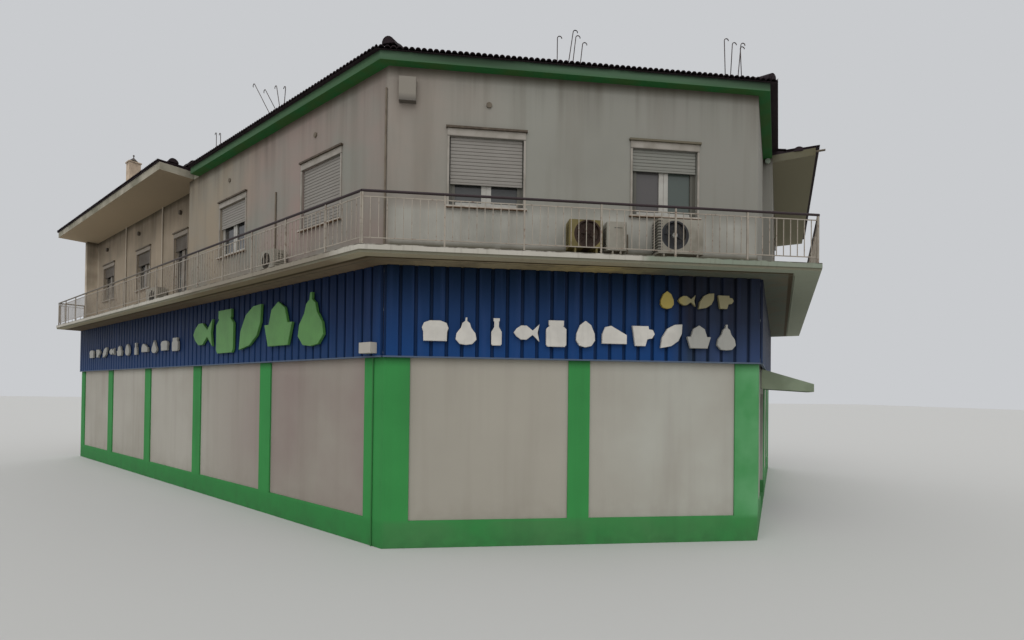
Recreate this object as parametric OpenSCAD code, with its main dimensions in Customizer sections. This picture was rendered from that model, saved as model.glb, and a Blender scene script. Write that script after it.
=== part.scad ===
// Corner shop building of two storeys: a boarded shop under a corrugated
// sign band, a balcony all along the streets and a dwelling under a hip roof.
// The front face lies along X and looks towards -Y; the street faces leave
// its two corners at blunt angles.

/* [Plan] */
// Width of the front face between its two corners
front_w = 6640; // [6000:20:7400]
// Direction of the left street face, counted from +X
left_angle = 136; // [128:1:144]
// Inner angle between the front face and the right street face
right_angle = 124; // [118:1:132]
// Length of the left street face
left_len = 17900; // [17500:50:18400]
// Length of the right street face
right_len = 10500; // [9800:50:11500]
// Length of the upper block on the left street
block_left = 8200; // [7900:20:8500]
// Where the eave of the left wing begins
eave_left_at = 7930; // [7800:10:8100]
// Where the green cornice ends on the left street
cornice_end = 7600; // [7500:10:7800]
// Length of the upper block on the right street
block_right = 2890; // [2700:10:3200]
// Set-back of the upper wall on the left street, past the block
wing_recess = 320; // [300:10:500]
// How far the upper wall on the right street stands out, past the block
wing_proud = 200; // [100:10:300]

/* [Heights] */
// Top of the shop floor above the lowest pavement
floor_z = 150; // [100:10:250]
// Top of the green plinth
plinth_h = 456; // [380:2:550]
// Lower edge of the sign band
sign_z = 3195; // [3000:5:3400]
// Underside of the balcony slab
slab_z = 4740; // [4600:10:4900]
// Thickness of the balcony slab
slab_t = 130; // [100:5:180]
// Underside of the eaves
eave_z = 8120; // [7900:10:8300]
// Window sill above the balcony
sill_h = 930; // [850:10:1000]
// Height of a window opening
window_h = 1200; // [1100:10:1300]
// Height of the handrail above the balcony
rail_h = 850; // [800:10:1000]

/* [Walls and slabs] */
// Thickness of the upper walls
wall_t = 250; // [200:10:300]
// Depth of the ground floor pillars and beams
pillar_d = 370; // [300:10:450]
// How far pillars and plinth stand proud of the panels
proud = 30; // [15:5:50]
// Width of a street pillar
pillar_w = 450; // [380:10:520]
// Distance between the pillars on the left street
bay_left = 3500; // [3400:10:3560]
// Balcony projection on the left, front and right
balcony_left = 800; // [700:10:900]
balcony_front = 820; // [700:10:950]
balcony_right = 1000; // [850:10:1100]
// Projection of the green cornice on the front
cornice = 165; // [120:5:240]
// Projection of the green cornice on the right
cornice_right = 190; // [120:5:240]
// Projection of the green cornice on the left
cornice_left = 205; // [120:5:240]
// Height of the green cornice
cornice_h = 150; // [120:5:180]
// Projection of the wing eaves
wing_eave_left = 790; // [650:10:900]
wing_eave_right = 1060; // [900:10:1200]
// How far the right wing eave hangs below the block's
wing_drop = 100; // [0:10:150]
// Thickness of the left wing eave
wing_eave_t = 190; // [150:5:260]
// Thickness of the right wing eave
wing_eave_t_right = 165; // [130:5:220]

/* [Roof] */
// Roof pitch in degrees
pitch = 17; // [12:1:20]
// Side of the chimney
chimney_w = 350; // [300:10:500]
// Top of the chimney shaft above the pavement
chimney_z = 10800; // [10300:50:11000]

/* [Sign band] */
// Pitch of the corrugation
rib_pitch = 250; // [200:10:300]
// Depth of the corrugation
rib_d = 35; // [25:5:45]
// Thickness of the sheet
sheet_t = 2; // [1:1:4]

/* [Railing] */
// Distance between posts
post_step = 1250; // [1000:50:1500]
// Distance between balusters
baluster_step = 125; // [90:5:140]
// Side of a baluster
baluster_w = 11; // [10:1:16]
// Diameter of the handrail tube
handrail_d = 42; // [34:2:50]

/* [Windows] */
// Height of one shutter slat
slat_h = 60; // [40:5:70]
// Width of the two meeting stiles of a window
meeting = 170; // [120:10:200]
// Width of an outer stile with its frame
stile = 100; // [80:5:130]
// Height of the lid over a rolled shutter
lid_h = 130; // [110:5:160]

/* [Hidden] */
$fn = 48;
e = 1;
P1 = [front_w, 0];
up_z = slab_z + slab_t;
sill_z = up_z + sill_h;
head_z = sill_z + window_h;
roof_z = eave_z + cornice_h;
right_dir = 180 - right_angle;
nF = [0, -1];
dL = [cos(left_angle), sin(left_angle)];
nL = [-sin(left_angle), cos(left_angle)];
dR = [cos(right_dir), sin(right_dir)];
nR = [sin(right_dir), -cos(right_dir)];
// Edge normals and distances: front, right street, right party, left party, left street
N = [nF, nR, dR, dL, nL];
C = [0, nR * P1, dR * P1 + right_len, left_len, 0];
function solve(n1, c1, n2, c2) = let (d = n1[0] * n2[1] - n1[1] * n2[0])
    [(c1 * n2[1] - c2 * n1[1]) / d, (n1[0] * c2 - n2[0] * c1) / d];
// Corner i lies between edge i-1, moved out by a, and edge i, moved out by b
function corner(i, a = 0, b = 0) = let (j = (i + 4) % 5, k = i % 5)
    solve(N[j], C[j] + a, N[k], C[k] + b);
function plan(o) = [for (i = [0:4]) corner(i, o[(i + 4) % 5], o[i])];
// Points on the left and right street faces at t along and o out
function L(t, o) = dL * t + nL * o;
function R(t, o) = P1 + dR * t + nR * o;
function band_front(a, b) = [corner(0, a, a), corner(1, a, a), corner(1, b, b), corner(0, b, b)];
function band_left(a, b, len = left_len) = [corner(0, a, a), L(len, a), L(len, b), corner(0, b, b)];
function band_right(a, b, len = right_len) = [corner(1, a, a), R(len, a), R(len, b), corner(1, b, b)];
// Balcony outline, used to centre the model on its own box
rim = plan([balcony_front, balcony_right, 0, 0, balcony_left]);
xs = [for (p = concat(rim, [L(left_len + 60, wing_eave_left + 30),
    R(right_len + 60, wing_eave_right + 75), corner(3, 60, 60)])) p[0]];
ys = [for (p = concat(rim, [corner(3, 60, 60)])) p[1]];
origin = [(min(xs) + max(xs)) / 2, (min(ys) + max(ys)) / 2];

// Marble strip on the slab's edge, and the groove in its underside
edge_strip = 85;
groove_in = 400;
hook_r = 40;
chimney_at = 15500;
chimney_in = 800;
windows_front = [[1030, 2310], [4260, 5470]];
windows_left = [[1340, 2650], [5020, 6320]];
windows_wing = [[12050, 13250], [15600, 16800]];
door_wing = [9150, 10100];
windows_right = [[6300, 7500]];
door_right = [3800, 4750];
shut_front = [0.65, 0.3];
shut_left = [1, 0.39];
entrance = [2000, 4300];
entrance_h = 2500;
awning = [1800, 4600];
pillars_t_left = [for (k = [0:3]) 3950 + k * bay_left];
GREEN = "#408448";
WHITE = "#a8a29a";
RENDER = "#968f87";

module ext(z0, z1) { translate([0, 0, z0]) linear_extrude(z1 - z0) children(); }
module poly(points, z0, z1) { ext(z0, z1) polygon(points); }
module placed() { translate([-origin[0], -origin[1], 0]) children(); }
// Local frames: x along the face from its street corner, y out, z up
module on_left() { rotate(left_angle) children(); }
module on_front() { mirror([0, 1, 0]) children(); }
module on_right() { translate(P1) rotate(right_dir) mirror([0, 1, 0]) children(); }
module box(x0, x1, y0, y1, z0, z1) {
    translate([x0, y0, z0]) cube([x1 - x0, y1 - y0, z1 - z0]);
}

// Ground floor
module shop_floor() {
    color("#8a8680") placed() poly(plan([for (i = [0:4]) -pillar_d]), 0, floor_z);
}
module plinth_left() {
    color(GREEN) placed() poly(band_left(proud, -pillar_d), 0, plinth_h);
}
module plinth_front() {
    color(GREEN) placed() poly(band_front(proud, -pillar_d), 0, plinth_h);
}
module plinth_right() {
    color(GREEN) placed() difference() {
        poly(band_right(proud, -pillar_d), 0, plinth_h);
        on_right() box(entrance[0], entrance[1], -pillar_d - e, proud + e, floor_z, plinth_h + e);
    }
}
module pillar(t, w = pillar_w) {
    box(t - w / 2, t + w / 2, -pillar_d, proud, plinth_h, sign_z);
}
module pillars_left() {
    color(GREEN) placed() on_left() {
        for (t = pillars_t_left) pillar(t);
        pillar(left_len - 200, 400);
    }
}
module pillars_front() {
    color(GREEN) placed() {
        on_front() pillar(3330, 380);
        poly([corner(0, proud, proud), [420, -proud], [420, pillar_d], corner(0, -pillar_d, -pillar_d),
            L(500, -pillar_d), L(500, proud)], plinth_h, sign_z);
        poly([[front_w - 430, -proud], corner(1, proud, proud), R(500, proud), R(500, -pillar_d),
            corner(1, -pillar_d, -pillar_d), [front_w - 430, pillar_d]], plinth_h, sign_z);
    }
}
module pillars_right() {
    color(GREEN) placed() on_right() {
        pillar(4750);
        pillar(7550);
        pillar(right_len - 200, 400);
    }
}
module panel(t0, t1) { box(t0, t1, -150, 0, plinth_h, sign_z); }
module panels_left() {
    color(WHITE) placed() on_left() {
        panel(500, pillars_t_left[0] - pillar_w / 2);
        for (k = [0:2]) panel(pillars_t_left[k] + pillar_w / 2, pillars_t_left[k + 1] - pillar_w / 2);
        panel(pillars_t_left[3] + pillar_w / 2, left_len - 400);
    }
}
module panels_front() {
    color(WHITE) placed() on_front() {
        panel(420, 3140);
        panel(3520, front_w - 430);
    }
}
module panels_right() {
    color(WHITE) placed() on_right() {
        panel(500, entrance[0]);
        panel(entrance[1], 4525);
        box(entrance[0], entrance[1], -150, 0, floor_z + entrance_h, sign_z);
        panel(4975, 7325);
        panel(7775, right_len - 400);
    }
}
module beam_left() { color(RENDER) placed() poly(band_left(0, -pillar_d), sign_z, slab_z); }
module beam_front() { color(RENDER) placed() poly(band_front(0, -pillar_d), sign_z, slab_z); }
module beam_right() { color(RENDER) placed() poly(band_right(0, -pillar_d), sign_z, slab_z); }

// Sign band: battens on the beams carry the corrugated sheets
module sign_rails() {
    color("#5c5c5e") placed() for (z = [sign_z + 60, (sign_z + slab_z) / 2, slab_z - 120]) {
        poly(band_left(60, 0, left_len - 60), z, z + 40);
        poly(band_front(60, 0), z, z + 40);
        poly(band_right(60, 0, right_len - 60), z, z + 40);
    }
}
// Outline of a corrugated sheet from x0 to x1 whose back touches y = 60
function ribs(x0, x1) = let (n = floor((x1 - x0) / rib_pitch), p = (x1 - x0) / n)
    [for (k = [0:n - 1]) each [[x0 + k * p, 0], [x0 + (k + 0.13) * p, 0],
        [x0 + (k + 0.2) * p, rib_d], [x0 + (k + 0.93) * p, rib_d]], [x1, 0]];
module sheet(x0, x1) {
    front = ribs(x0, x1);
    back = [for (k = [len(front) - 1:-1:0]) front[k]];
    ext(sign_z, slab_z - 5) translate([0, 60])
        polygon(concat([for (p = front) [p[0], p[1] + sheet_t]], back));
    box(x0, x1, 60, 60 + rib_d + sheet_t, sign_z, sign_z + sheet_t);
    box(x0, x1, 60 + rib_d, 60 + rib_d + 2 * sheet_t, sign_z, sign_z + 25);
}
module sign_left() { color("#1e3a78") placed() on_left() sheet(-20, left_len); }
module sign_front() { color("#1e3a78") placed() on_front() sheet(-20, front_w + 20); }
module sign_right() { color("#1e3a78") placed() on_right() sheet(-20, right_len); }

// Shop entrance on the right street, under its awning
module entrance_frame() {
    color("#9a9c9e") placed() on_right() difference() {
        box(entrance[0], entrance[1], -120, -60, floor_z, floor_z + entrance_h);
        for (k = [0:2]) box(entrance[0] + 60 + k * 747, entrance[0] + 60 + k * 747 + 686,
            -130, -50, floor_z + 60, floor_z + 2060);
        box(entrance[0] + 60, entrance[1] - 60, -130, -50, floor_z + 2120, floor_z + entrance_h - 60);
    }
}
module entrance_glass() {
    color("#708090") placed() on_right() {
        for (k = [0:2]) box(entrance[0] + 60 + k * 747, entrance[0] + 60 + k * 747 + 686,
            -94, -86, floor_z + 60, floor_z + 2060);
        box(entrance[0] + 60, entrance[1] - 60, -94, -86, floor_z + 2120, floor_z + entrance_h - 60);
    }
}
// Outline along x, drawn in the plane of y and z
module along(x0, x1) { translate([x0, 0, 0]) rotate([90, 0, 90]) linear_extrude(x1 - x0) children(); }
module entrance_awning() {
    top = [[35, 3190], [1000, 2870]];
    color("#7c8a78") placed() on_right() {
        along(awning[0], awning[1])
            polygon([top[0], top[1], [1000, 2710], [994, 2710], [994, 2864], [35, 3182]]);
        for (x = [awning[0], awning[1] - 6]) along(x, x + 6)
            polygon([top[0], top[1], [1000, 2710], [35, 2770]]);
    }
}
// Tube from a to b
module tube(a, b, d) {
    v = b - a;
    translate(a) rotate([0, acos(v[2] / norm(v)), atan2(v[1], v[0])]) cylinder(d = d, h = norm(v));
}
module awning_frame() {
    color("#8e8e8c") placed() on_right() {
        tube([awning[0] + 10, 975, 2845], [awning[1] - 10, 975, 2845], 26);
        tube([awning[0] + 10, 20, 3155], [awning[1] - 10, 20, 3155], 26);
        for (k = [0:3]) let (x = awning[0] + 30 + k * (awning[1] - awning[0] - 60) / 3)
            tube([x, 20, 3155], [x, 975, 2845], 22);
        for (x = [awning[0] + 30, awning[1] - 30]) tube([x, 15, 2780], [x, 975, 2840], 22);
    }
}

// Balcony and railings
function rim_in(d) = plan([balcony_front - d, balcony_right - d, 0, 0, balcony_left - d]);
module balcony_slab() {
    color("#a5a094") placed() difference() {
        union() {
            poly(rim_in(15), slab_z, up_z - edge_strip);
            poly(rim, up_z - edge_strip, up_z);
        }
        difference() {
            poly(rim_in(groove_in), slab_z - e, slab_z + 15);
            poly(rim_in(groove_in + 20), slab_z - 2 * e, slab_z + 16);
        }
    }
}
module railing(x0, x1, first = post_step) {
    n = round((x1 - x0) / baluster_step);
    p = (x1 - x0 - baluster_w) / n;
    difference() {
        box(x0, x1, -baluster_w / 2, baluster_w / 2, 100, rail_h - 105);
        for (k = [0:n - 1])
            box(x0 + baluster_w + k * p, x0 + (k + 1) * p, -20, 20, 116, rail_h - 121);
    }
    translate([x0, 0, rail_h - handrail_d / 2]) rotate([0, 90, 0]) cylinder(d = handrail_d, h = x1 - x0);
    for (x = concat([x0], [for (t = [x0 + first:post_step:x1 - 400]) t], [x1 - 26]))
        box(x, x + 26, -13, 13, 0, rail_h - handrail_d / 2);
}
// Railing line out from the street face by o, with a short return to the wall at the far end
module street_railing(x0, x1, out, wall, first) {
    translate([0, out, up_z]) {
        railing(x0, x1, first);
        translate([x1 - 13, 0, 0]) rotate(90) railing(wall - out, -30, 3000);
    }
}
rail_left = balcony_left - 60;
rail_front = balcony_front - 60;
rail_right = balcony_right - 60;
rail_end_left = corner(0, rail_left, rail_front);
rail_end_right = corner(1, rail_front, rail_right);
module railing_left() {
    color("#afaaa0") placed() on_left()
        street_railing(dL * rail_end_left, left_len - 20, rail_left, 0, 950);
}
module railing_front() {
    color("#afaaa0") placed() on_front() translate([0, rail_front, up_z])
        railing(rail_end_left[0], rail_end_right[0]);
}
module railing_right() {
    color("#afaaa0") placed() on_right()
        street_railing(dR * (rail_end_right - P1), right_len - 20, rail_right, wing_proud, 1250);
}

// Upper walls
module cut(spans, z0 = sill_z, z1 = head_z) {
    for (s = spans) box(s[0], s[1], -2000, 400, z0, z1);
}
module wall_block_left() {
    color(RENDER) placed() difference() {
        poly([corner(0), L(block_left, 0), L(block_left, -wing_recess), L(block_left - wall_t, -wing_recess),
            L(block_left - wall_t, -wall_t), corner(0, -wall_t, -wall_t)], up_z, eave_z);
        on_left() cut(windows_left);
    }
}
module wall_wing_left() {
    color(RENDER) placed() on_left() difference() {
        box(block_left - wall_t, left_len - wall_t, -wing_recess - wall_t, -wing_recess, up_z, eave_z);
        cut(windows_wing);
        cut([door_wing], up_z + 20, head_z);
    }
}
module wall_front() {
    color(RENDER) placed() difference() {
        poly(band_front(0, -wall_t), up_z, eave_z);
        on_front() cut(windows_front);
    }
}
module wall_right() {
    color(RENDER) placed() difference() {
        poly([corner(1), R(block_right, 0), R(block_right, wing_proud), R(right_len - wall_t, wing_proud),
            R(right_len - wall_t, wing_proud - wall_t), R(block_right + wall_t, wing_proud - wall_t),
            R(block_right + wall_t, -wall_t), corner(1, -wall_t, -wall_t)], up_z, eave_z);
        on_right() {
            cut(windows_right);
            cut([door_right], up_z + 20, head_z);
        }
    }
}
module party_wall_left() {
    color(RENDER) placed() {
        poly([corner(3), L(left_len, -pillar_d), L(left_len - wall_t, -pillar_d),
            corner(3, -wall_t, -wall_t)], 0, slab_z);
        poly([corner(3), L(left_len, 0), L(left_len - wall_t, 0), corner(3, -wall_t, -wall_t)], up_z, eave_z);
    }
}
module party_wall_right() {
    color(RENDER) placed() {
        poly([R(right_len, -pillar_d), corner(3), corner(3, -wall_t, -wall_t),
            R(right_len - wall_t, -pillar_d)], 0, slab_z);
        poly([R(right_len, wing_proud), corner(3), corner(3, -wall_t, -wall_t),
            R(right_len - wall_t, wing_proud)], up_z, eave_z);
    }
}

// Roof
module roof_slab() { color("#8f897f") placed() poly(plan([0, 0, 0, 0, 0]), eave_z, roof_z); }
module block_cornice() {
    color("#347a3c") placed() {
        poly([corner(0, cornice_left, cornice), L(cornice_end, cornice_left), L(cornice_end, 0), corner(0)],
            eave_z, roof_z);
        poly([corner(0, cornice_left, cornice), corner(1, cornice, cornice_right), corner(1), corner(0)],
            eave_z, roof_z);
        poly([corner(1, cornice, cornice_right), R(block_right, cornice_right), R(block_right, 0),
            corner(1)], eave_z, roof_z);
    }
}
module wing_eave_left_slab() {
    color("#8f897f") placed() on_left()
        box(eave_left_at, left_len, 0, wing_eave_left, eave_z, eave_z + wing_eave_t);
}
module wing_eave_right_slab() {
    top = eave_z - wing_drop + wing_eave_t_right;
    color("#8f897f") placed() on_right() {
        box(block_right, right_len, 0, wing_eave_right, eave_z, top);
        box(block_right, right_len, wing_proud, wing_eave_right, eave_z - wing_drop, top);
    }
}
roof_edge = [cornice + 35, cornice_right + 120, 60, 60, cornice_left + 65];
edge_h = 22;
slope_t = tan(pitch);
// Height over the slab of roof plane i at point q, for a plane that starts s0 in and h up
function rise(i, q, s0, h) = h + (C[i] + roof_edge[i] - s0 - N[i] * q) * slope_t;
// Plan point where the planes i, j and k are equally high
function meet(i, j, k) = solve(N[i] - N[j], C[i] + roof_edge[i] - C[j] - roof_edge[j],
    N[j] - N[k], C[j] + roof_edge[j] - C[k] - roof_edge[k]);
// Peaks of the hip roof: three planes meet there, under all the others
function peaks(s0, h) = [for (i = [0:2], j = [i + 1:3], k = [j + 1:4])
    let (q = meet(i, j, k), z = rise(i, q, s0, h))
        if (z > h && min([for (m = [0:4]) rise(m, q, s0, h)]) > z - 1) [q[0], q[1], roof_z + z]];
// Solid hip whose eaves stand s0 in from the roof edge and h above the slab
module hip(s0, h, low = 0) {
    eaves = plan([for (o = roof_edge) o - s0]);
    points = concat([for (p = eaves) [p[0], p[1], roof_z - low]],
        [for (p = eaves) [p[0], p[1], roof_z + h]], peaks(s0, h));
    hull() polyhedron(points, [[for (k = [0:len(points) - 1]) k]]);
}
function roof_top(o, edge) = roof_z + edge_h + (edge - o) * slope_t;
module roof() {
    color("#3c2a2d") placed() difference() {
        hip(0, edge_h);
        hip(420, 0, 20);
        on_left() box(cornice_end, left_len + 400, 0, 600, roof_z - 5, roof_z + 900);
        on_right() box(block_right, right_len + 400, 0, 600, roof_z - 5, roof_z + 900);
        shaft(chimney_w, roof_z - 5, chimney_z);
    }
}
// Apron of tiles over a wing eave: the main slope runs down to bend, then a flatter one out to the lip
module apron(x0, x1, out, edge, base, lip, bend) {
    translate([x0, 0, 0]) rotate([90, 0, 90]) linear_extrude(x1 - x0)
        polygon(concat([[out, base], [out, base + lip], [bend, roof_top(bend, edge)]],
            bend > 0 ? [[0, roof_top(0, edge)]] : [], [[0, base]]));
}
module wing_tiles_left() {
    color("#3c2a2d") placed() on_left()
        apron(eave_left_at, left_len + 60, wing_eave_left + 30, roof_edge[4], eave_z + wing_eave_t, 35, 0);
}
module wing_tiles_right() {
    color("#3c2a2d") placed() on_right()
        apron(block_right, right_len + 60, wing_eave_right + 75, roof_edge[1],
            eave_z - wing_drop + wing_eave_t_right, 10, 480);
}
// Square prism of side w on the chimney's axis, behind the left street face
module shaft(w, z0, z1) {
    on_left() translate([chimney_at, -chimney_in, 0]) box(-w / 2, w / 2, -w / 2, w / 2, z0, z1);
}
module chimney() {
    color("#a59f95") placed() {
        shaft(chimney_w, roof_z, chimney_z);
        shaft(chimney_w + 50, chimney_z, chimney_z + 40);
    }
}
// Tin cowl: a cone on four legs with a ball on top
module chimney_cap() {
    z = chimney_z + 40;
    color("#3a3634") placed() on_left() translate([chimney_at, -chimney_in, z]) {
        for (a = [45:90:315]) rotate(a) translate([85, 0, 0]) cylinder(d = 16, h = 70);
        translate([0, 0, 60]) cylinder(d1 = 260, d2 = 50, h = 110);
        translate([0, 0, 160]) cylinder(d = 30, h = 90);
        translate([0, 0, 260]) sphere(d = 60);
    }
}

// Windows
module sills(spans) { for (s = spans) box(s[0] - 60, s[1] + 60, -wall_t, 60, sill_z - 30, sill_z); }
module window_sills() {
    color("#b0aca2") placed() {
        on_front() sills(windows_front);
        on_left() sills(windows_left);
        on_left() translate([0, -wing_recess, 0]) sills(windows_wing);
        on_right() translate([0, wing_proud, 0]) sills(windows_right);
    }
}
// Lid over the rolled shutter with thin strips down the jambs and a drip strip on top
module casing(s, z0) {
    difference() {
        box(s[0] - 35, s[1] + 35, 0, 18, z0, head_z + lid_h);
        box(s[0], s[1], -e, 20, z0 - e, head_z);
    }
    box(s[0] - 60, s[1] + 60, 0, 50, head_z + lid_h, head_z + lid_h + 35);
}
module boxes(spans) { for (s = spans) casing(s, sill_z); }
module shutter_boxes() {
    color("#a09a92") placed() {
        on_front() boxes(windows_front);
        on_left() boxes(windows_left);
        on_left() translate([0, -wing_recess, 0]) {
            boxes(windows_wing);
            casing(door_wing, up_z);
        }
        on_right() translate([0, wing_proud, 0]) {
            boxes(windows_right);
            casing(door_right, up_z);
        }
    }
}
// Curtain of slats hung from the head, covering share f of the height h, with a bottom bar
module curtain(s, f, h) {
    n = max(3, round(h * f / slat_h));
    slats = [for (k = [0:n - 1]) each
        [[-9, -k * slat_h], [0, -k * slat_h - 14], [0, -(k + 1) * slat_h + 10]]];
    translate([0, -30, head_z]) along(s[0] + 20, s[1] - 20)
        polygon(concat(slats, [[-9, -n * slat_h], [-17, -n * slat_h], [-17, 0]]));
    box(s[0] + 20, s[1] - 20, -49, -27, head_z - n * slat_h - 30, head_z - n * slat_h);
}
module roller_shutters() {
    color("#9a948c") placed() {
        on_front() for (k = [0:1]) curtain(windows_front[k], shut_front[k], window_h);
        on_left() for (k = [0:1]) curtain(windows_left[k], shut_left[k], window_h);
        on_left() translate([0, -wing_recess, 0]) {
            curtain(windows_wing[0], 0.3, window_h);
            curtain(windows_wing[1], 0.25, window_h);
            curtain(door_wing, 0.3, window_h);
        }
        on_right() translate([0, wing_proud, 0]) {
            curtain(windows_right[0], 0.4, window_h);
            curtain(door_right, 0.3, window_h);
        }
    }
}
// Two-leaf frame filling the opening s from z0 to the head
module frame2(s, z0 = sill_z) {
    mid = (s[0] + s[1]) / 2;
    difference() {
        box(s[0], s[1], -130, -70, z0, head_z);
        box(s[0] + stile, mid - meeting / 2, -140, -60, z0 + 90, head_z - 80);
        box(mid + meeting / 2, s[1] - stile, -140, -60, z0 + 90, head_z - 80);
        box(mid - 4, mid + 4, -80, -60, z0 + 40, head_z - 40);
        for (x = [s[0] + 45, s[1] - 45]) box(x - 3, x + 3, -78, -60, z0 + 40, head_z - 40);
    }
}
module pane(s, z0 = sill_z) { box(s[0] + 60, s[1] - 60, -104, -96, z0 + 60, head_z - 60); }
module window_frames() {
    color("#d8d6d0") placed() {
        on_front() for (s = windows_front) frame2(s);
        on_left() for (s = windows_left) frame2(s);
        on_left() translate([0, -wing_recess, 0]) {
            for (s = windows_wing) frame2(s);
            frame2(door_wing, up_z + 20);
        }
        on_right() translate([0, wing_proud, 0]) {
            for (s = windows_right) frame2(s);
            frame2(door_right, up_z + 20);
        }
    }
}
module window_glass() {
    color("#3c4650") placed() {
        on_front() for (s = windows_front) pane(s);
        on_left() for (s = windows_left) pane(s);
        on_left() translate([0, -wing_recess, 0]) {
            for (s = windows_wing) pane(s);
            pane(door_wing, up_z + 20);
        }
        on_right() translate([0, wing_proud, 0]) {
            for (s = windows_right) pane(s);
            pane(door_right, up_z + 20);
        }
    }
}

// Outdoor unit on a low stand: chamfered casing with a fan opening, its grille and side slots
module unit(x0, x1, z0, z1, fan = []) {
    y0 = 50;
    y1 = 330;
    c = 18;
    difference() {
        poly([[x0, y0], [x1, y0], [x1, y1 - c], [x1 - c, y1], [x0 + c, y1], [x0, y1 - c]], z0, z1);
        if (len(fan) > 0) translate([fan[0], y1 - 45, fan[1]]) rotate([-90, 0, 0])
            cylinder(r = fan[2], h = 60);
        for (z = [z0 + 60:45:z1 - 80]) box(x0 - e, x0 + 14, y0 + 40, y1 - 60, z, z + 22);
    }
    if (len(fan) > 0) translate([fan[0], y1, fan[1]]) rotate([-90, 0, 0]) grille(fan[2]);
    for (x = [x0 + 90, x1 - 120]) {
        box(x, x + 30, y0 + 10, y1 - 10, z0 - 30, z0);
        for (y = [y0 + 10, y1 - 40]) box(x, x + 30, y, y + 30, up_z, z0 - 30);
    }
}
// Fan hub with four blades, behind rings and spokes
module grille(r) {
    translate([0, 0, -45]) cylinder(r = 45, h = 30);
    for (a = [20:90:290]) rotate(a) translate([0, 0, -38]) linear_extrude(8)
        polygon([[30, -20], [r - 12, -60], [r - 12, 40], [30, 30]]);
    for (k = [1:3]) rotate_extrude() translate([k * r / 3, 0]) circle(d = 8);
    for (a = [0:45:135]) rotate(a) translate([-r - 6, -4, -4]) cube([2 * r + 12, 8, 8]);
}
module air_conditioners() {
    color("#b4afa4") placed() {
        on_front() {
            unit(3060, 3640, 5100, 5570, [3380, 5350, 200]);
            unit(3710, 4060, 5070, 5560);
            unit(4620, 5440, 5060, 5660, [4920, 5400, 205]);
        }
        on_left() unit(3120, 3830, 5030, 5460, [3400, 5245, 165]);
        on_left() translate([0, -wing_recess, 0]) unit(10500, 11280, 5040, 5600, [10800, 5320, 200]);
    }
}

// Boxes, vents, lamps, conduits and condensate pipes on the walls
module disc(x, z, d, deep) { translate([x, 0, z]) rotate([-90, 0, 0]) cylinder(d = d, h = deep); }
module riser(x, y, z0, z1, d) { translate([x, y + d / 2, z0]) cylinder(d = d, h = z1 - z0, $fn = 24); }
module wall_fittings() {
    color("#9a948a") placed() {
        on_front() {
            box(180, 460, 0, 110, 7500, 7900);
            disc(1700, 7570, 95, 25);
            riser(4180, 0, up_z, 5450, 24);
        }
        on_left() {
            riser(38, 0, up_z, 7750, 34);
            riser(250, proud, 0, sign_z, 26);
            riser(3650, 0, 5470, 6800, 36);
            for (t = [2190, 5840]) disc(t, 7590, 95, 25);
            box(90, 400, 95, 230, sign_z + 65, sign_z + 245);
        }
        on_left() translate([0, -wing_recess, 0]) {
            for (t = [11000, 14300]) riser(t, 0, up_z, eave_z, 45);
            for (t = [9630, 13050, 16380]) disc(t, 7680, 130, 60);
        }
        on_right() {
            translate([block_right, wing_proud / 2, 8060]) rotate([0, -90, 0]) cylinder(d = 110, h = 60);
            tube([block_right + 60, wing_eave_right, eave_z + 5],
                [block_right + 60, wing_eave_right + 190, eave_z], 45);
        }
    }
}
// Reinforcing bar at x and y, up to the height z1, leaning along the face, with a hooked end
module bar(x, y, z1, lean) {
    z0 = roof_z - 20;
    long = (z1 - z0) / cos(lean);
    translate([x, y, z0]) rotate([0, lean, 0]) {
        cylinder(d = 16, h = long);
        translate([hook_r, 0, long]) rotate([90, 0, 0]) rotate_extrude(angle = 180)
            translate([hook_r, 0]) circle(d = 16, $fn = 16);
    }
}
module starter_bars() {
    color("#4a3a34") placed() {
        on_front() for (q = [[2930, -250, 9020, 0], [3090, -250, 9160, 8], [3190, -300, 9100, 6],
            [3320, -250, 8950, 6], [6140, -250, 9260, -2], [6240, -300, 9240, 3],
            [6350, -250, 9210, 5], [6500, -300, 9170, -3]]) bar(q[0], q[1], q[2], q[3]);
        on_left() for (q = [[7240, -250, 9220, 0], [6980, -250, 9140, 1], [4020, -250, 9800, 38],
            [3750, -250, 9480, 38], [3980, -310, 9450, 16], [3820, -190, 9140, -7]])
            bar(q[0], q[1], q[2], q[3]);
    }
}

shop_floor();
plinth_left();
plinth_front();
plinth_right();
pillars_left();
pillars_front();
pillars_right();
panels_left();
panels_front();
panels_right();
beam_left();
beam_front();
beam_right();
sign_rails();
sign_left();
sign_front();
sign_right();
entrance_frame();
entrance_glass();
entrance_awning();
balcony_slab();
railing_left();
railing_front();
railing_right();
wall_block_left();
wall_wing_left();
wall_front();
wall_right();
party_wall_left();
party_wall_right();
roof_slab();
block_cornice();
wing_eave_left_slab();
wing_eave_right_slab();
roof();
wing_tiles_left();
wing_tiles_right();
chimney();
chimney_cap();
window_sills();
shutter_boxes();
roller_shutters();
window_frames();
window_glass();
air_conditioners();
wall_fittings();
awning_frame();
starter_bars();
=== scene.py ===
# Supermarket building: finishes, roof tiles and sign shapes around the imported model,
# with the camera and the stage.
import math

import bmesh
import bpy
from bpy.props import FloatProperty, FloatVectorProperty, IntProperty, PointerProperty
from mathutils import Matrix, Vector
from mathutils.geometry import convex_hull_2d


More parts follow.
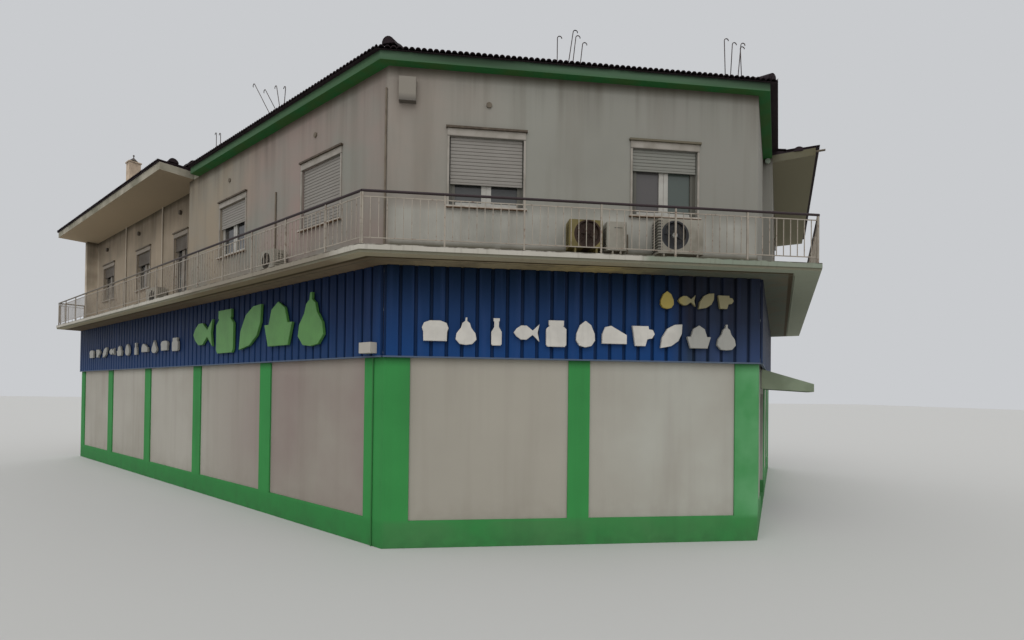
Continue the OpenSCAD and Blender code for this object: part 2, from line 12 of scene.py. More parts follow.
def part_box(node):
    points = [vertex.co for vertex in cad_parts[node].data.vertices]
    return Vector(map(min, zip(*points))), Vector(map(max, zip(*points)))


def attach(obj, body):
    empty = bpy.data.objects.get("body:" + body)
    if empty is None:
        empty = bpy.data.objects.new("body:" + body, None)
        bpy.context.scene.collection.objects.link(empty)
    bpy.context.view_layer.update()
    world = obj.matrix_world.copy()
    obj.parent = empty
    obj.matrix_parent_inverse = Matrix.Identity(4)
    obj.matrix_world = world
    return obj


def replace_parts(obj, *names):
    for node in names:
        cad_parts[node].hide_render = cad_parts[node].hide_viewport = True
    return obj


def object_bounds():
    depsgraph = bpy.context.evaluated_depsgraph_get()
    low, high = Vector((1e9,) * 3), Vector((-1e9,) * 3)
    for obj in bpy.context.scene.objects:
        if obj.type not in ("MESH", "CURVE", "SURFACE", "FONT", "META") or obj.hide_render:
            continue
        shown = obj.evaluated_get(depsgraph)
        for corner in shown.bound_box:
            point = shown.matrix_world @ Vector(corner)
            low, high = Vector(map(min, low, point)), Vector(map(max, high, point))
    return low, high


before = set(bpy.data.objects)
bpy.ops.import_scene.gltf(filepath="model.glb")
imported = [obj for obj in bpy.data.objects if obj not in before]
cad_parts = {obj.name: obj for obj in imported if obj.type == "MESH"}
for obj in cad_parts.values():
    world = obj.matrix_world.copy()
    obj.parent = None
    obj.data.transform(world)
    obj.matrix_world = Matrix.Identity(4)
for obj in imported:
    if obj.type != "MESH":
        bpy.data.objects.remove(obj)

bl_info = {
    "name": "Supermarket Building",
    "version": (1, 0, 0),
    "blender": (4, 5, 0),
    "location": "3D View > Sidebar > Corner Shop",
    "description": "Dresses a two-storey corner building with finishes, roof tiles and sign shapes",
    "category": "Object",
}

CAD_BOX = [list(corner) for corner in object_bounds()]
BODY = "root"

# Places taken from the frame, in metres
FRONT_LOW, FRONT_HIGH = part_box("beam_front")
SLAB_LOW, SLAB_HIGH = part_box("balcony_slab")
SIGN_LOW, SIGN_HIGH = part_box("sign_front")
EAVE_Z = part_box("roof_slab")[0].z
ROOF_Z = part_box("roof_slab")[1].z
RAIL_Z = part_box("railing_front")[1].z
SILL_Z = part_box("window_sills")[1].z
HEAD_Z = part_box("roller_shutters")[1].z
LID_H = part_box("shutter_boxes")[1].z - HEAD_Z - 0.035
CHIMNEY_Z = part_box("chimney")[1].z - 0.04
FRONT_W = FRONT_HIGH.x - FRONT_LOW.x
SIGN_OUT = FRONT_LOW.y - SIGN_LOW.y

# Plan of the building, as its construction has it, in metres along the streets
LEFT_ANGLE = math.radians(136.0)
RIGHT_ANGLE = math.radians(56.0)
LEFT_LEN, RIGHT_LEN = 17.9, 10.5
CORNICE_END, EAVE_LEFT_AT, WING_AT, BLOCK_RIGHT = 7.6, 7.93, 8.05, 2.89
FRONT_WINDOWS = ((1.03, 2.31), (4.26, 5.47))
WING_VENTS = (9.63, 13.05, 16.38)
STILE, SLAT, CHAMFER, PIN_R = 0.11, 0.06, 0.006, 0.012
# The normal of a roof slope stands at least this high
SLOPE_UP = 0.7


class Face:
    """A street face: t runs along it from its street corner, o out of it."""

    def __init__(self, start, angle, turn):
        self.start = Vector((start[0], start[1], 0.0))
        self.along = Vector((math.cos(angle), math.sin(angle), 0.0))
        self.out = Vector((-math.sin(angle) * turn, math.cos(angle) * turn, 0.0))

    def at(self, t, o, z):
        return self.start + self.along * t + self.out * o + Vector((0.0, 0.0, z))

    def matrix(self, t=0.0, o=0.0, z=0.0):
        """Local X to the right as seen from the street, Y up and Z out of the face."""
        return placed(self.at(t, o, z), Vector((0.0, 0.0, 1.0)).cross(self.out), self.out)


def placed(origin, across, out):
    """A place whose X is across and Z is out."""
    across, out = across.normalized(), out.normalized()
    turn = Matrix((across, out.cross(across), out)).transposed().to_4x4()
    return Matrix.Translation(origin) @ turn


FRONT = Face((FRONT_LOW.x, FRONT_LOW.y), 0.0, -1.0)
LEFT = Face((FRONT_LOW.x, FRONT_LOW.y), LEFT_ANGLE, 1.0)
RIGHT = Face((FRONT_HIGH.x, FRONT_LOW.y), RIGHT_ANGLE, -1.0)


def linear(code):
    """An sRGB hex colour as linear RGBA."""
    parts = [int(code[k:k + 2], 16) / 255.0 for k in (1, 3, 5)]
    return [c / 12.92 if c <= 0.04045 else ((c + 0.055) / 1.055) ** 2.4 for c in parts] + [1.0]


def length(name, value, about, low=0.0, high=10.0):
    return FloatProperty(name=name, description=about, default=value, min=low, max=high,
        subtype="DISTANCE", unit="LENGTH")


def angle(name, degrees, about, low=-180.0, high=180.0):
    return FloatProperty(name=name, description=about, default=math.radians(degrees),
        min=math.radians(low), max=math.radians(high), subtype="ANGLE", unit="ROTATION")


def paint(name, code, about):
    return FloatVectorProperty(name=name, description=about, default=linear(code)[:3], min=0.0, max=1.0,
        size=3, subtype="COLOR")


class ShopColours(bpy.types.PropertyGroup):
    green: paint("Green", "#398948", "Masonry paint of pillars and plinth")
    cornice: paint("Cornice green", "#456548", "Weathered green of the block's cornice")
    board: paint("Boards", "#a09b90", "White wall paint on the boarded shop windows")
    wall: paint("Render", "#898880", "Old paint on the upper walls")
    slab: paint("Slab", "#737161", "Concrete paint under the balcony")
    blue: paint("Blue sheet", "#17325a", "Coated steel of the sign band")
    rail: paint("Balusters", "#978f83", "Old enamel on the railing bars")
    handrail: paint("Handrail", "#33282a", "Brown enamel on the handrail tube")
    tile: paint("Tiles", "#2a2024", "Dark engobe on the clay tiles")


class RoofSizes(bpy.types.PropertyGroup):
    tile_w: length("Tile width", 0.2, "Covered width of one tile, with two rolls")
    gauge: length("Gauge", 0.34, "Distance between tile courses along the slope")
    lap: length("Lap", 0.06, "How far a tile lies under the next course")
    roll: length("Roll", 0.038, "Height of a roll over its pan")
    clay: length("Clay", 0.013, "Thickness of a tile")
    sink: length("Sink", 0.028, "How far the tiles' bed lies under the solid's slope")
    overhang: length("Overhang", 0.005, "How far the first course stands past the roof's edge")
    cap_r: length("Cap radius", 0.115, "Radius of the half-round hip caps")
    cap_step: length("Cap step", 0.33, "Distance between hip caps")
    cap_start: length("Cap start", 0.04, "How far the first cap stands in from the low end")
    wobble: angle("Wobble", 0.5, "Largest turn of a hand-laid tile")
    seed: IntProperty(name="Seed", description="Seed of the tile wobble", default=4, min=0)


class SignSizes(bpy.types.PropertyGroup):
    depth: length("Depth", 0.05, "Thickness of a raised sign shape")
    gap: length("Gap", 0.02, "Space between the sheet and a shape")
    white: paint("White", "#c9c5bd", "Painted white shapes")
    yellow: paint("Yellow", "#a39140", "Painted yellow shapes")
    green: paint("Green", "#508540", "Painted green shapes")


class ViewPlace(bpy.types.PropertyGroup):
    eye_t: length("Along", 1.158, "Camera place along the front face", -20.0, 20.0)
    eye_out: length("Out", 8.771, "Camera distance from the front face")
    eye_z: length("Height", 2.65, "Camera height")
    yaw: angle("Yaw", 6.474, "Turn to the right")
    pitch: angle("Pitch", 0.56, "Tilt upwards")
    roll: angle("Roll", 0.684, "Turn about the view axis")
    focal_px: FloatProperty(name="Focal length", description="In pixels of the photograph's width",
        default=512.0, min=100.0, max=4000.0)
    horizon_px: FloatProperty(name="Axis row", description="Row of the optical axis, in pixels",
        default=386.3, min=0.0, max=640.0)


def add(tree, kind, inputs=(), **settings):
    """One node with its settings; an input is a value or the socket that feeds it."""
    made = tree.nodes.new(kind)
    for name, value in settings.items():
        setattr(made, name, value)
    for key, value in dict(inputs).items():
        if isinstance(value, bpy.types.NodeSocket):
            tree.links.new(value, made.inputs[key])
        else:
            made.inputs[key].default_value = value
    return made


class Coat:
    """A material while it is painted: layers over a colour, by masks from places in metres."""

    def __init__(self, name, colours=None):
        self.colours = colours
        made = bpy.data.materials.new(name)
        made.use_nodes = True
        self.tree = made.node_tree
        self.tree.nodes.clear()
        self.place = self.add("ShaderNodeTexCoord").outputs["Object"]
        self.colour = None

    def add(self, kind, inputs=(), **settings):
        return add(self.tree, kind, inputs, **settings)

    @property
    def z(self):
        """Height over the ground."""
        return self.add("ShaderNodeSeparateXYZ", {"Vector": self.place}).outputs["Z"]

    def measure(self, arrow, start):
        """Distance from start along an arrow."""
        dot = self.add("ShaderNodeVectorMath", {0: self.place, 1: arrow}, operation="DOT_PRODUCT")
        return self.both(dot.outputs["Value"], start.dot(arrow), "SUBTRACT", False)

    def along(self, face):
        """Distance along a street face from its corner."""
        return self.measure(face.along, face.start)

    def out(self, face):
        """Distance out of a street face."""
        return self.measure(face.out, face.start)

    def far_out(self):
        """How far a point stands out of the street faces."""
        most = self.both(self.out(FRONT), self.out(LEFT), "MAXIMUM")
        return self.both(most, self.out(RIGHT), "MAXIMUM")

    def both(self, first, second, operation="MULTIPLY", clamp=True):
        """Two masks, or two measures, joined into one."""
        return self.add("ShaderNodeMath", {0: first, 1: second}, operation=operation,
            use_clamp=clamp).outputs[0]

    def ramp(self, value, low, high):
        """A mask that goes from 0 at low to 1 at high."""
        return self.add("ShaderNodeMapRange", {"Value": value, "From Min": low,
            "From Max": high}).outputs[0]

    def up(self, low, high):
        """The same between two heights."""
        return self.ramp(self.z, low, high)

    def front(self, low, high):
        """The same between two places on the front."""
        return self.ramp(self.along(FRONT), low, high)

    def left(self, low, high):
        """The same between two places on the left street."""
        return self.ramp(self.along(LEFT), low, high)

    def right(self, low, high):
        """The same between two places on the right street."""
        return self.ramp(self.along(RIGHT), low, high)

    def band(self, value, low, high, soft=0.004):
        """A mask that is 1 from low to high and fades over soft."""
        rise = self.ramp(value, low - soft, low + soft)
        return self.both(rise, self.ramp(value, high + soft, high - soft))

    def cloud(self, size, low=0.4, high=0.6, stretch=1.0):
        """A mask of blotches of the given size in metres, 1 / stretch times as tall."""
        moved = self.add("ShaderNodeMapping", {"Vector": self.place, "Scale": (1.0, 1.0, stretch)})
        noise = self.add("ShaderNodeTexNoise", {"Vector": moved.outputs[0], "Scale": 1.0 / size,
            "Detail": 4.0})
        return self.ramp(noise.outputs[0], low, high)

    def looking(self, low, high):
        """A mask by how far the surface looks up, from its normal's height."""
        normal = self.add("ShaderNodeNewGeometry").outputs["Normal"]
        up = self.add("ShaderNodeSeparateXYZ", {"Vector": normal}).outputs["Z"]
        return self.ramp(up, low, high)

    def wing(self):
        """A mask of the left street's wing."""
        return self.left(WING_AT - 0.15, WING_AT + 0.15)

    def spot(self, face, t, z, radius):
        """A mask that is 1 within radius of a spot on a street face."""
        flat = self.add("ShaderNodeCombineXYZ", {0: self.along(face), 1: self.z})
        away = self.add("ShaderNodeVectorMath", {0: flat.outputs[0], 1: (t, z, 0.0)},
            operation="DISTANCE")
        return self.ramp(away.outputs["Value"], radius + 0.004, radius - 0.004)

    def field(self, face, t0, t1, z0, z1, soft=0.004):
        """A mask that is 1 in a rectangle on a street face."""
        return self.both(self.band(self.along(face), t0, t1, soft), self.band(self.z, z0, z1, soft))

    def mix(self, share, first, second):
        """The colour between first and second; a colour is hex, RGBA or a socket."""
        first, second = [linear(tone) if isinstance(tone, str) else tone for tone in (first, second)]
        return self.add("ShaderNodeMix", {0: share, 6: first, 7: second}, data_type="RGBA").outputs[2]

    def own(self, name, factor=1.0):
        """A colour of the panel made darker or lighter, as RGBA."""
        return [min(1.0, c * factor) for c in getattr(self.colours, name)] + [1.0]

    def base(self, first, second, *blotches):
        """Start with two colours in blotches."""
        self.colour = self.mix(self.cloud(*blotches), first, second)

    def layer(self, mask, tone, share=None):
        """Paint tone over the colour where the mask is 1, or as thickly as share says."""
        if share is not None:
            mask = self.both(mask, share)
        self.colour = self.mix(mask, self.colour, tone)

    def weather(self, dark, stain, patch, streaks, soil, soil_top):
        """Soft blotches, rain streaks and a soiled foot."""
        self.layer(self.cloud(patch, 0.35, 0.7), dark)
        self.layer(self.cloud(0.28, 0.48, 0.78, 0.07), stain, streaks)
        self.layer(self.both(self.up(soil_top, 0.0), self.cloud(0.22, 0.3, 0.75)), stain, soil)

    def done(self, roughness, relief=None, depth=0.0, metallic=0.0, specular=0.5):
        """The shader, with a bump of the given depth in metres."""
        shader = self.add("ShaderNodeBsdfPrincipled", {"Base Color": self.colour, "Roughness": roughness,
            "Metallic": metallic, "Specular IOR Level": specular})
        if relief is not None:
            bump = self.add("ShaderNodeBump", {"Height": relief, "Distance": depth, "Strength": 1.0})
            self.tree.links.new(bump.outputs[0], shader.inputs["Normal"])
        self.add("ShaderNodeOutputMaterial", {"Surface": shader.outputs[0]})


def masonry_paint_green(coat):
    """Matt masonry paint on render: even green, chalky, scuffed and splashed near the pavement, with painted
    shadow under the sign band
    """
    coat.colour = coat.mix(coat.front(FRONT_W - 0.7, FRONT_W - 0.3), coat.own("green"),
        "#619b6b")
    foot = coat.mix(coat.front(-0.05, 0.05), coat.own("green", 0.82), "#457b49")
    coat.layer(coat.up(0.48, 0.4), foot)
    coat.weather(coat.own("green", 0.86), "#35603a", 1.1, 0.3, 0.75, 0.4)
    # Painted shadow under the sign band darkens the tops of the pillars
    coat.layer(coat.up(SIGN_LOW.z - 0.16, SIGN_LOW.z), "#1f4a28", 0.45)
    coat.done(0.75, coat.cloud(0.006, 0.2, 0.8), 0.0008, specular=0.15)


def cornice_paint_green(coat):
    """The same paint on the cornice: greyed on the fascia, near black along its top from painted shade under
    the tiles and grime
    """
    side = coat.left(0.0, 0.2)
    coat.base(coat.own("cornice"), coat.own("cornice", 0.8), 0.7, 0.35, 0.7)
    coat.layer(coat.up(EAVE_Z + 0.01, EAVE_Z + 0.05), coat.mix(side, "#465f49", "#466347"))
    ends = coat.both(coat.band(coat.along(FRONT), 0.5, 2.2, 0.5), coat.front(5.2, 6.8), "ADD")
    ends = coat.both(ends, coat.up(EAVE_Z - 0.02, EAVE_Z + 0.07))
    coat.layer(ends, "#1e2d1c", 0.6)
    # Painted shade under the tiles' overhang, blotched with grime, darkens the top of the fascia
    tile_shade_and_grime = coat.both(coat.up(EAVE_Z + 0.08, ROOF_Z), coat.cloud(0.3, 0.2, 0.5))
    coat.layer(tile_shade_and_grime, "#232f25", coat.mix(side, (1.0, 1.0, 1.0, 1.0), (0.45, 0.45, 0.45, 1.0)))
    coat.layer(coat.looking(-0.4, -0.8), coat.mix(coat.cloud(0.5), "#2e6838", "#3c6233"))
    coat.done(0.75, coat.cloud(0.006, 0.2, 0.8), 0.0006, specular=0.15)


def board_paint_white(coat):
    """Rolled white wall paint on boards, greyed by street dust, darker and pinker on the left street near
    the corner
    """
    coat.colour = coat.mix(coat.front(2.9, 4.6), coat.own("board"), "#a9a89f")
    side = coat.mix(coat.left(3.6, 7.5), "#8b7f79", "#a7a39a")
    coat.layer(coat.left(0.1, 0.3), side)
    coat.weather(coat.own("board", 0.9), "#7d766c", 2.2, 0.22, 0.6, 0.9)
    coat.layer(coat.cloud(0.5, 0.62, 0.7, 0.05), "#6f695f", 0.12)
    coat.done(0.85, coat.cloud(0.003, 0.2, 0.8), 0.0003, specular=0.15)


def float_render(coat):
    """Floated lime render with old paint, lighter on the front below the sills, streaked by rain, with
    painted shade under the eaves and painted light on the party wall's end
    """
    coat.colour = coat.mix(coat.front(2.2, 0.2), coat.own("wall"), "#91867d")
    coat.layer(coat.front(3.6, 5.2), "#83817a")
    coat.layer(coat.left(0.02, 0.1), "#8f7f78")
    coat.layer(coat.left(4.0, 6.0), "#8e8373")
    coat.layer(coat.left(EAVE_LEFT_AT + 0.2, EAVE_LEFT_AT + 0.5), "#a09280")
    # The party wall's far end face is painted near white, painted light that stands in for the light it
    # catches
    end = coat.both(coat.left(17.45, 17.55), coat.ramp(coat.out(LEFT), -0.6, -0.4))
    coat.layer(end, "#e0d2be")
    low = coat.both(coat.band(coat.along(FRONT), 0.02, FRONT_W - 0.02, 0.02),
        coat.up(SILL_Z + 0.05, SILL_Z - 0.1))
    coat.layer(low, "#a8a69e", coat.left(0.05, -0.05))
    patch = coat.mix(coat.left(8.1, 8.4), coat.own("wall", 0.9), "#8a7f6f")
    coat.weather(patch, "#6f685e", 1.4, 0.4, 0.3, 0.6)
    drip = coat.both(coat.up(EAVE_Z - 1.1, EAVE_Z), coat.cloud(0.2, 0.45, 0.75, 0.04))
    coat.layer(drip, "#544d44", 0.5)
    # Painted shade, streaked like damp, under the wing's soffit, and a dark edge of painted shade and grime
    # under every eave
    top = coat.both(coat.left(8.2, 8.5), coat.up(EAVE_Z - 1.0, EAVE_Z - 0.1))
    coat.layer(coat.both(top, coat.cloud(0.3, 0.2, 0.6, 0.12)), "#4f4638", 0.65)
    coat.layer(coat.up(EAVE_Z - 0.2, EAVE_Z - 0.03), "#3a3222", 0.72)
    # Rain splashes up from the balcony
    splash = coat.both(coat.cloud(0.25, 0.0, 0.4, 0.3),
        coat.band(coat.z, SLAB_HIGH.z - 0.3, SLAB_HIGH.z + 0.27, 0.05))
    coat.layer(splash, "#4b4636", coat.left(0.05, -0.05))
    coat.done(0.9, coat.cloud(0.005, 0.2, 0.8), 0.0012, specular=0.15)


def chimney_plaster(coat):
    """Lime plaster on the chimney, yellowed by smoke near the top"""
    coat.base("#c3b09a", "#a89785", 0.4, 0.35, 0.65)
    soot = coat.both(coat.up(CHIMNEY_Z - 0.5, CHIMNEY_Z), coat.cloud(0.15, 0.4, 0.7))
    coat.layer(soot, "#5a5048", 0.6)
    coat.done(0.9, coat.cloud(0.006, 0.2, 0.8), 0.001, specular=0.15)


def painted_cast_concrete(coat):
    """Painted fair-faced concrete: pale marble edge strip, grey drip edge, brown run under the slab"""
    near = coat.both(coat.left(0.1, 0.6), coat.left(7.5, 5.5))
    high = coat.up(6.5, 7.0)
    right = coat.right(2.6, 2.8)
    coat.colour = coat.mix(near, coat.own("slab"), "#635b4d")
    coat.layer(high, coat.mix(right, "#a39d8f", "#615c47"))
    coat.weather(coat.own("slab", 0.9), "#6a6253", 0.8, 0.3, 0.0, 0.5)
    # The soffits of the eaves are smooth, darker towards the block
    soffit = coat.mix(right, "#a8977e", "#8c8a73")
    soffit = coat.mix(coat.both(coat.left(13.0, 8.5), 0.4), soffit, "#6a6050")
    coat.layer(high, soffit, coat.looking(-0.4, -0.8))
    # Under the balcony each street has its own tint
    under = coat.mix(coat.front(2.0, 3.6), "#9c8e70", "#ad9a69")
    under = coat.mix(coat.front(3.8, 4.8), under, "#626659")
    under = coat.mix(coat.front(0.9, -0.3), under, "#675845")
    under = coat.mix(near, under, "#7c6c57")
    under = coat.mix(coat.cloud(0.35, 0.45, 0.8), under, "#6d6250")
    under = coat.mix(coat.both(coat.cloud(0.16, 0.6, 0.75), 0.4), under, "#54483a")
    # The paint of the fascia laps a hand's breadth round the edge, to a dark drip line
    out = coat.far_out()
    under = coat.mix(coat.band(out, 0.5, 0.57, 0.01), under, "#4c412f")
    lap = coat.mix(coat.front(3.8, 4.8), "#aa9f86", "#9a9e8c")
    under = coat.mix(coat.ramp(out, 0.57, 0.59), under, coat.mix(near, lap, "#8e7f68"))
    coat.layer(coat.looking(-0.4, -0.8), under, coat.up(6.0, 5.5))
    # Marble strip on the slab's edge, dirty on top and streaked below
    marble = coat.mix(coat.front(4.1, 4.3), "#b3afa5", "#7c8577")
    marble = coat.mix(near, marble, "#847d71")
    marble = coat.mix(coat.both(coat.cloud(0.6, 0.35, 0.7), 0.3), marble, "#8f8a7c")
    coat.layer(coat.up(SLAB_HIGH.z - 0.088, SLAB_HIGH.z - 0.082), marble,
        coat.up(SLAB_HIGH.z + 0.2, SLAB_HIGH.z + 0.1))
    dirt = coat.band(coat.z, SLAB_HIGH.z - 0.014, SLAB_HIGH.z + 0.02)
    coat.layer(coat.both(dirt, coat.cloud(0.12, 0.35, 0.6)), "#3d362e", 0.85)
    drips = coat.both(coat.band(coat.z, SLAB_LOW.z, SLAB_HIGH.z), coat.cloud(0.07, 0.55, 0.75, 0.1))
    coat.layer(drips, "#5f574c", 0.35)
    # Worn cement tiles on the balcony's floor
    worn = coat.mix(coat.cloud(0.9, 0.35, 0.7), "#918a7e", "#7c766b")
    coat.layer(coat.looking(0.6, 0.9), worn, coat.band(coat.z, SLAB_HIGH.z - 0.02, SLAB_HIGH.z + 0.02))
    coat.done(0.9, coat.cloud(0.008, 0.2, 0.8), 0.001, specular=0.12)


def trowelled_screed(coat):
    """Trowelled concrete screed"""
    coat.base("#8a867e", "#7c786f", 1.6, 0.35, 0.7)
    coat.done(0.8, coat.cloud(0.006, 0.2, 0.8), 0.0006, specular=0.3)


def honed_marble(coat):
    """Honed white marble, dulled by weather, brown underneath and along its lower edge"""
    coat.base("#b4b0a7", "#9a958b", 0.3, 0.35, 0.7)
    coat.layer(coat.looking(-0.4, -0.8), "#7a5a3f")
    coat.layer(coat.up(SILL_Z - 0.012, SILL_Z - 0.03), "#76593f", 0.85)
    coat.layer(coat.both(coat.looking(0.5, 0.0), coat.cloud(0.12, 0.4, 0.7)), "#6a5440", 0.45)
    coat.done(0.5, coat.cloud(0.01), 0.0001, specular=0.3)


def coated_sheet_blue(coat):
    """Coated trapezoidal sheet: deep blue, with painted shade that is darkest at the top under the balcony
    and in its valleys, greyed at the right by dust and painted glare
    """
    # Painted shadow of the balcony slab: the sheet darkens from its foot up to near black at the top, on the
    # left street as well
    rise = coat.up(SIGN_LOW.z + 0.1, SIGN_LOW.z + 0.75)
    coat.colour = coat.mix(coat.up(SIGN_LOW.z + 0.75, SIGN_HIGH.z),
        coat.mix(rise, "#163c6f", coat.own("blue", 1.1)), "#0d1e31")
    coat.layer(coat.left(0.0, 0.3), coat.mix(rise, "#1b3357", "#11213f"), 0.7)
    # At the right of the front the sheet is greyed, partly dust and partly painted glare
    end = coat.mix(coat.cloud(0.5, 0.4, 0.6, 0.1), coat.mix(rise, "#26323c", "#1f1b1d"),
        coat.mix(rise, "#33405e", "#242a37"))
    coat.layer(coat.front(4.9, 5.3), end, 0.85)
    # Painted shade in the valleys of the sheet
    coat.layer(coat.ramp(coat.far_out(), 0.09, 0.07), "#070d18", 0.55)
    coat.layer(coat.cloud(0.12, 0.5, 0.8, 0.05), "#46598a", 0.18)
    coat.layer(coat.up(SIGN_LOW.z + 0.03, SIGN_LOW.z + 0.022), "#596473", 0.8)
    coat.done(0.55, coat.cloud(0.9, 0.3, 0.7), 0.004, specular=0.1)


def rail_enamel(coat):
    """Oil paint on mild steel bars: grey-beige balusters, dark brown rails, rust at the feet"""
    coat.base(coat.own("rail"), coat.own("rail", 0.75), 0.3, 0.45, 0.75)
    coat.layer(coat.cloud(0.05, 0.55, 0.7), "#6b5142", 0.7)
    # The far part of the handrail on the left street is painted pale, a painted sheen along the tube
    hand = coat.mix(coat.left(6.0, 10.0), coat.own("handrail"), "#6b6357")
    coat.layer(coat.up(RAIL_Z - 0.047, RAIL_Z - 0.044), hand)
    coat.done(0.5, coat.cloud(0.01), 0.0003, specular=0.25)


def galvanised_steel(coat):
    """Galvanised steel, dull grey zinc"""
    coat.base("#7d7f80", "#5e6062", 0.05)
    coat.done(0.5, coat.cloud(0.02), 0.0002, metallic=0.8)


def rusted_tin(coat):
    """Tin left to rust over the flue: dark brown with grey zinc showing through"""
    coat.base("#3a2c26", "#55504c", 0.08, 0.35, 0.6)
    coat.done(0.7, coat.cloud(0.01), 0.0005)


def rusty_bar(coat):
    """Ribbed bar left in the rain: brown scale over dark steel"""
    coat.base("#4b3a34", "#2e2628", 0.04)
    coat.done(0.9, coat.cloud(0.006), 0.001)


def coated_aluminium(coat):
    """White coated aluminium sections, dulled; brown dust on the wing's windows"""
    coat.colour = coat.mix(coat.wing(), "#a3a19a", "#6b6155")
    coat.layer(coat.cloud(0.25), "#908c84", 0.5)
    for start, end in FRONT_WINDOWS:
        for t in (start, end - STILE):
            coat.layer(coat.field(FRONT, t, t + STILE, SILL_Z, HEAD_Z, 0.003), "#55534b")
    coat.done(0.4, coat.cloud(0.01), 0.0001, specular=0.3)


def pvc_slats(coat):
    """Hard PVC slats, greyed, with dirt in the gaps between the slats"""
    coat.colour = coat.mix(coat.front(3.5, 4.0), "#85817b", "#797972")
    coat.layer(coat.wing(), "#544c43")
    coat.layer(coat.cloud(0.4, 0.4, 0.7), "#7a756e", 0.35)
    slot = coat.both(coat.both(coat.z, HEAD_Z, "SUBTRACT", False), SLAT, "FLOORED_MODULO", False)
    coat.layer(coat.ramp(slot, 0.012, 0.004), "#57524c", 0.3)
    coat.done(0.6, coat.cloud(0.01), 0.0002, specular=0.2)


def lid_enamel(coat):
    """Oil paint on the sheet lids and strips round the windows; the drip strip has rusted brown"""
    coat.base("#948e85", "#807a70", 0.25, 0.4, 0.7)
    coat.layer(coat.wing(), "#7d7263", 0.8)
    rust = coat.mix(coat.front(3.4, 3.6), "#43382c", "#5c5645")
    rust = coat.mix(coat.wing(), rust, "#5d5242")
    rust = coat.mix(coat.both(coat.cloud(0.08, 0.4, 0.65), 0.3), rust, "#6f6353")
    coat.layer(coat.up(HEAD_Z + LID_H - 0.004, HEAD_Z + LID_H), rust)
    # A painted shade line where the lid meets the shutter curtain
    coat.layer(coat.band(coat.z, HEAD_Z - 0.01, HEAD_Z + 0.012), "#4a443d", 0.7)
    coat.done(0.5, coat.cloud(0.02), 0.0002, specular=0.25)


# Fans of the outdoor units: face, place along it, height, radius, colours of the disc and its hub
UNIT_FANS = (
    (FRONT, 3.38, 5.33, 0.24, "#33231a", "#33231a"),
    (FRONT, 4.92, 5.38, 0.25, "#2f3033", "#b9bbb7"),
    (LEFT, 3.4, 5.245, 0.165, "#4b453d", "#5a544b"),
    (LEFT, 10.8, 5.32, 0.2, "#4a4640", "#5a5650"),
)


def unit_enamel(coat):
    """Baked enamel on the outdoor units: one brown with age, dark fans behind their guards"""
    coat.base("#918d82", "#7d786c", 0.3, 0.4, 0.7)
    brown = coat.mix(coat.cloud(0.25, 0.35, 0.65), "#786d42", "#5e5430")
    coat.layer(coat.field(FRONT, 3.0, 3.66, 4.9, 5.6), brown)
    # Slot of the small unit, and its side painted light: painted light over the shade that the brown unit
    # casts on it
    coat.layer(coat.field(FRONT, 3.84, 3.98, 5.45, 5.465), "#2a2724", 0.85)
    coat.layer(coat.field(FRONT, 3.7, 3.76, 5.0, 5.6, 0.006), "#98968b")
    # Side louvres of the largest unit
    louvre = coat.ramp(coat.both(coat.z, 0.05, "FLOORED_MODULO", False), 0.03, 0.036)
    coat.layer(coat.field(FRONT, 4.6, 4.69, 5.1, 5.63), coat.mix(louvre, "#3f3c36", "#8b8980"))
    for face, t, z, radius, disc, hub in UNIT_FANS:
        coat.layer(coat.spot(face, t, z, radius), disc)
        coat.layer(coat.spot(face, t, z, 0.045), hub)
    coat.layer(coat.up(SLAB_HIGH.z + 0.17, SLAB_HIGH.z + 0.15), "#6f6552", 0.6)
    coat.layer(coat.cloud(0.08, 0.55, 0.8, 0.2), "#6b604c", 0.4)
    coat.done(0.5, coat.cloud(0.02), 0.0002, specular=0.25)


def fitting_paint(coat):
    """Old oil paint on the boxes, vents and pipes of the walls, brown with road dust"""
    coat.base("#6d6355", "#5a5145", 0.2, 0.4, 0.7)
    # On the wing the fittings are pale like the wall, and paler still as a painted highlight against the
    # shade round the thin pipes
    coat.layer(coat.left(8.3, 8.6), "#aca292")
    for t in WING_VENTS:
        coat.layer(coat.spot(LEFT, t, 7.68, 0.075), "#4a4238")
    tin = coat.mix(coat.up(7.62, 7.52), "#807a70", "#5f5a53")
    coat.layer(coat.field(FRONT, 0.1, 0.5, 7.4, 7.95), tin)
    # Green below the sign band, pale on the small box in front of it
    coat.layer(coat.up(SIGN_LOW.z + 0.02, SIGN_LOW.z - 0.02), "#2f6d38")
    coat.layer(coat.band(coat.z, SIGN_LOW.z + 0.05, SIGN_LOW.z + 0.3), "#a9a59c")
    lamp = coat.both(coat.right(2.5, 2.7), coat.up(7.9, 8.0))
    coat.layer(lamp, "#8f9a8b", coat.ramp(coat.out(RIGHT), 0.5, 0.4))
    coat.done(0.6, coat.cloud(0.02), 0.0002, specular=0.25)


def awning_canvas(coat):
    """Faded grey green canvas, set light since daylight comes through it; the weave is drawn coarse"""
    coat.base("#8d9882", "#7f8974", 0.6)
    coat.layer(coat.looking(0.4, 0.8), "#6d7562")
    weave = coat.add("ShaderNodeTexWave", {"Vector": coat.place, "Scale": 60.0}, wave_type="BANDS")
    coat.done(0.9, weave.outputs[0], 0.0004, specular=0.1)


def engobed_clay(coat):
    """Clay roof tiles with a dark brown engobe, lichen-spotted"""
    coat.base(coat.own("tile", 1.25), coat.own("tile", 0.8), 0.35, 0.35, 0.65)
    coat.layer(coat.cloud(0.07, 0.6, 0.75), "#544c48", coat.both(coat.looking(0.3, 0.8), 0.5))
    coat.done(0.8, coat.cloud(0.012), 0.001, specular=0.2)


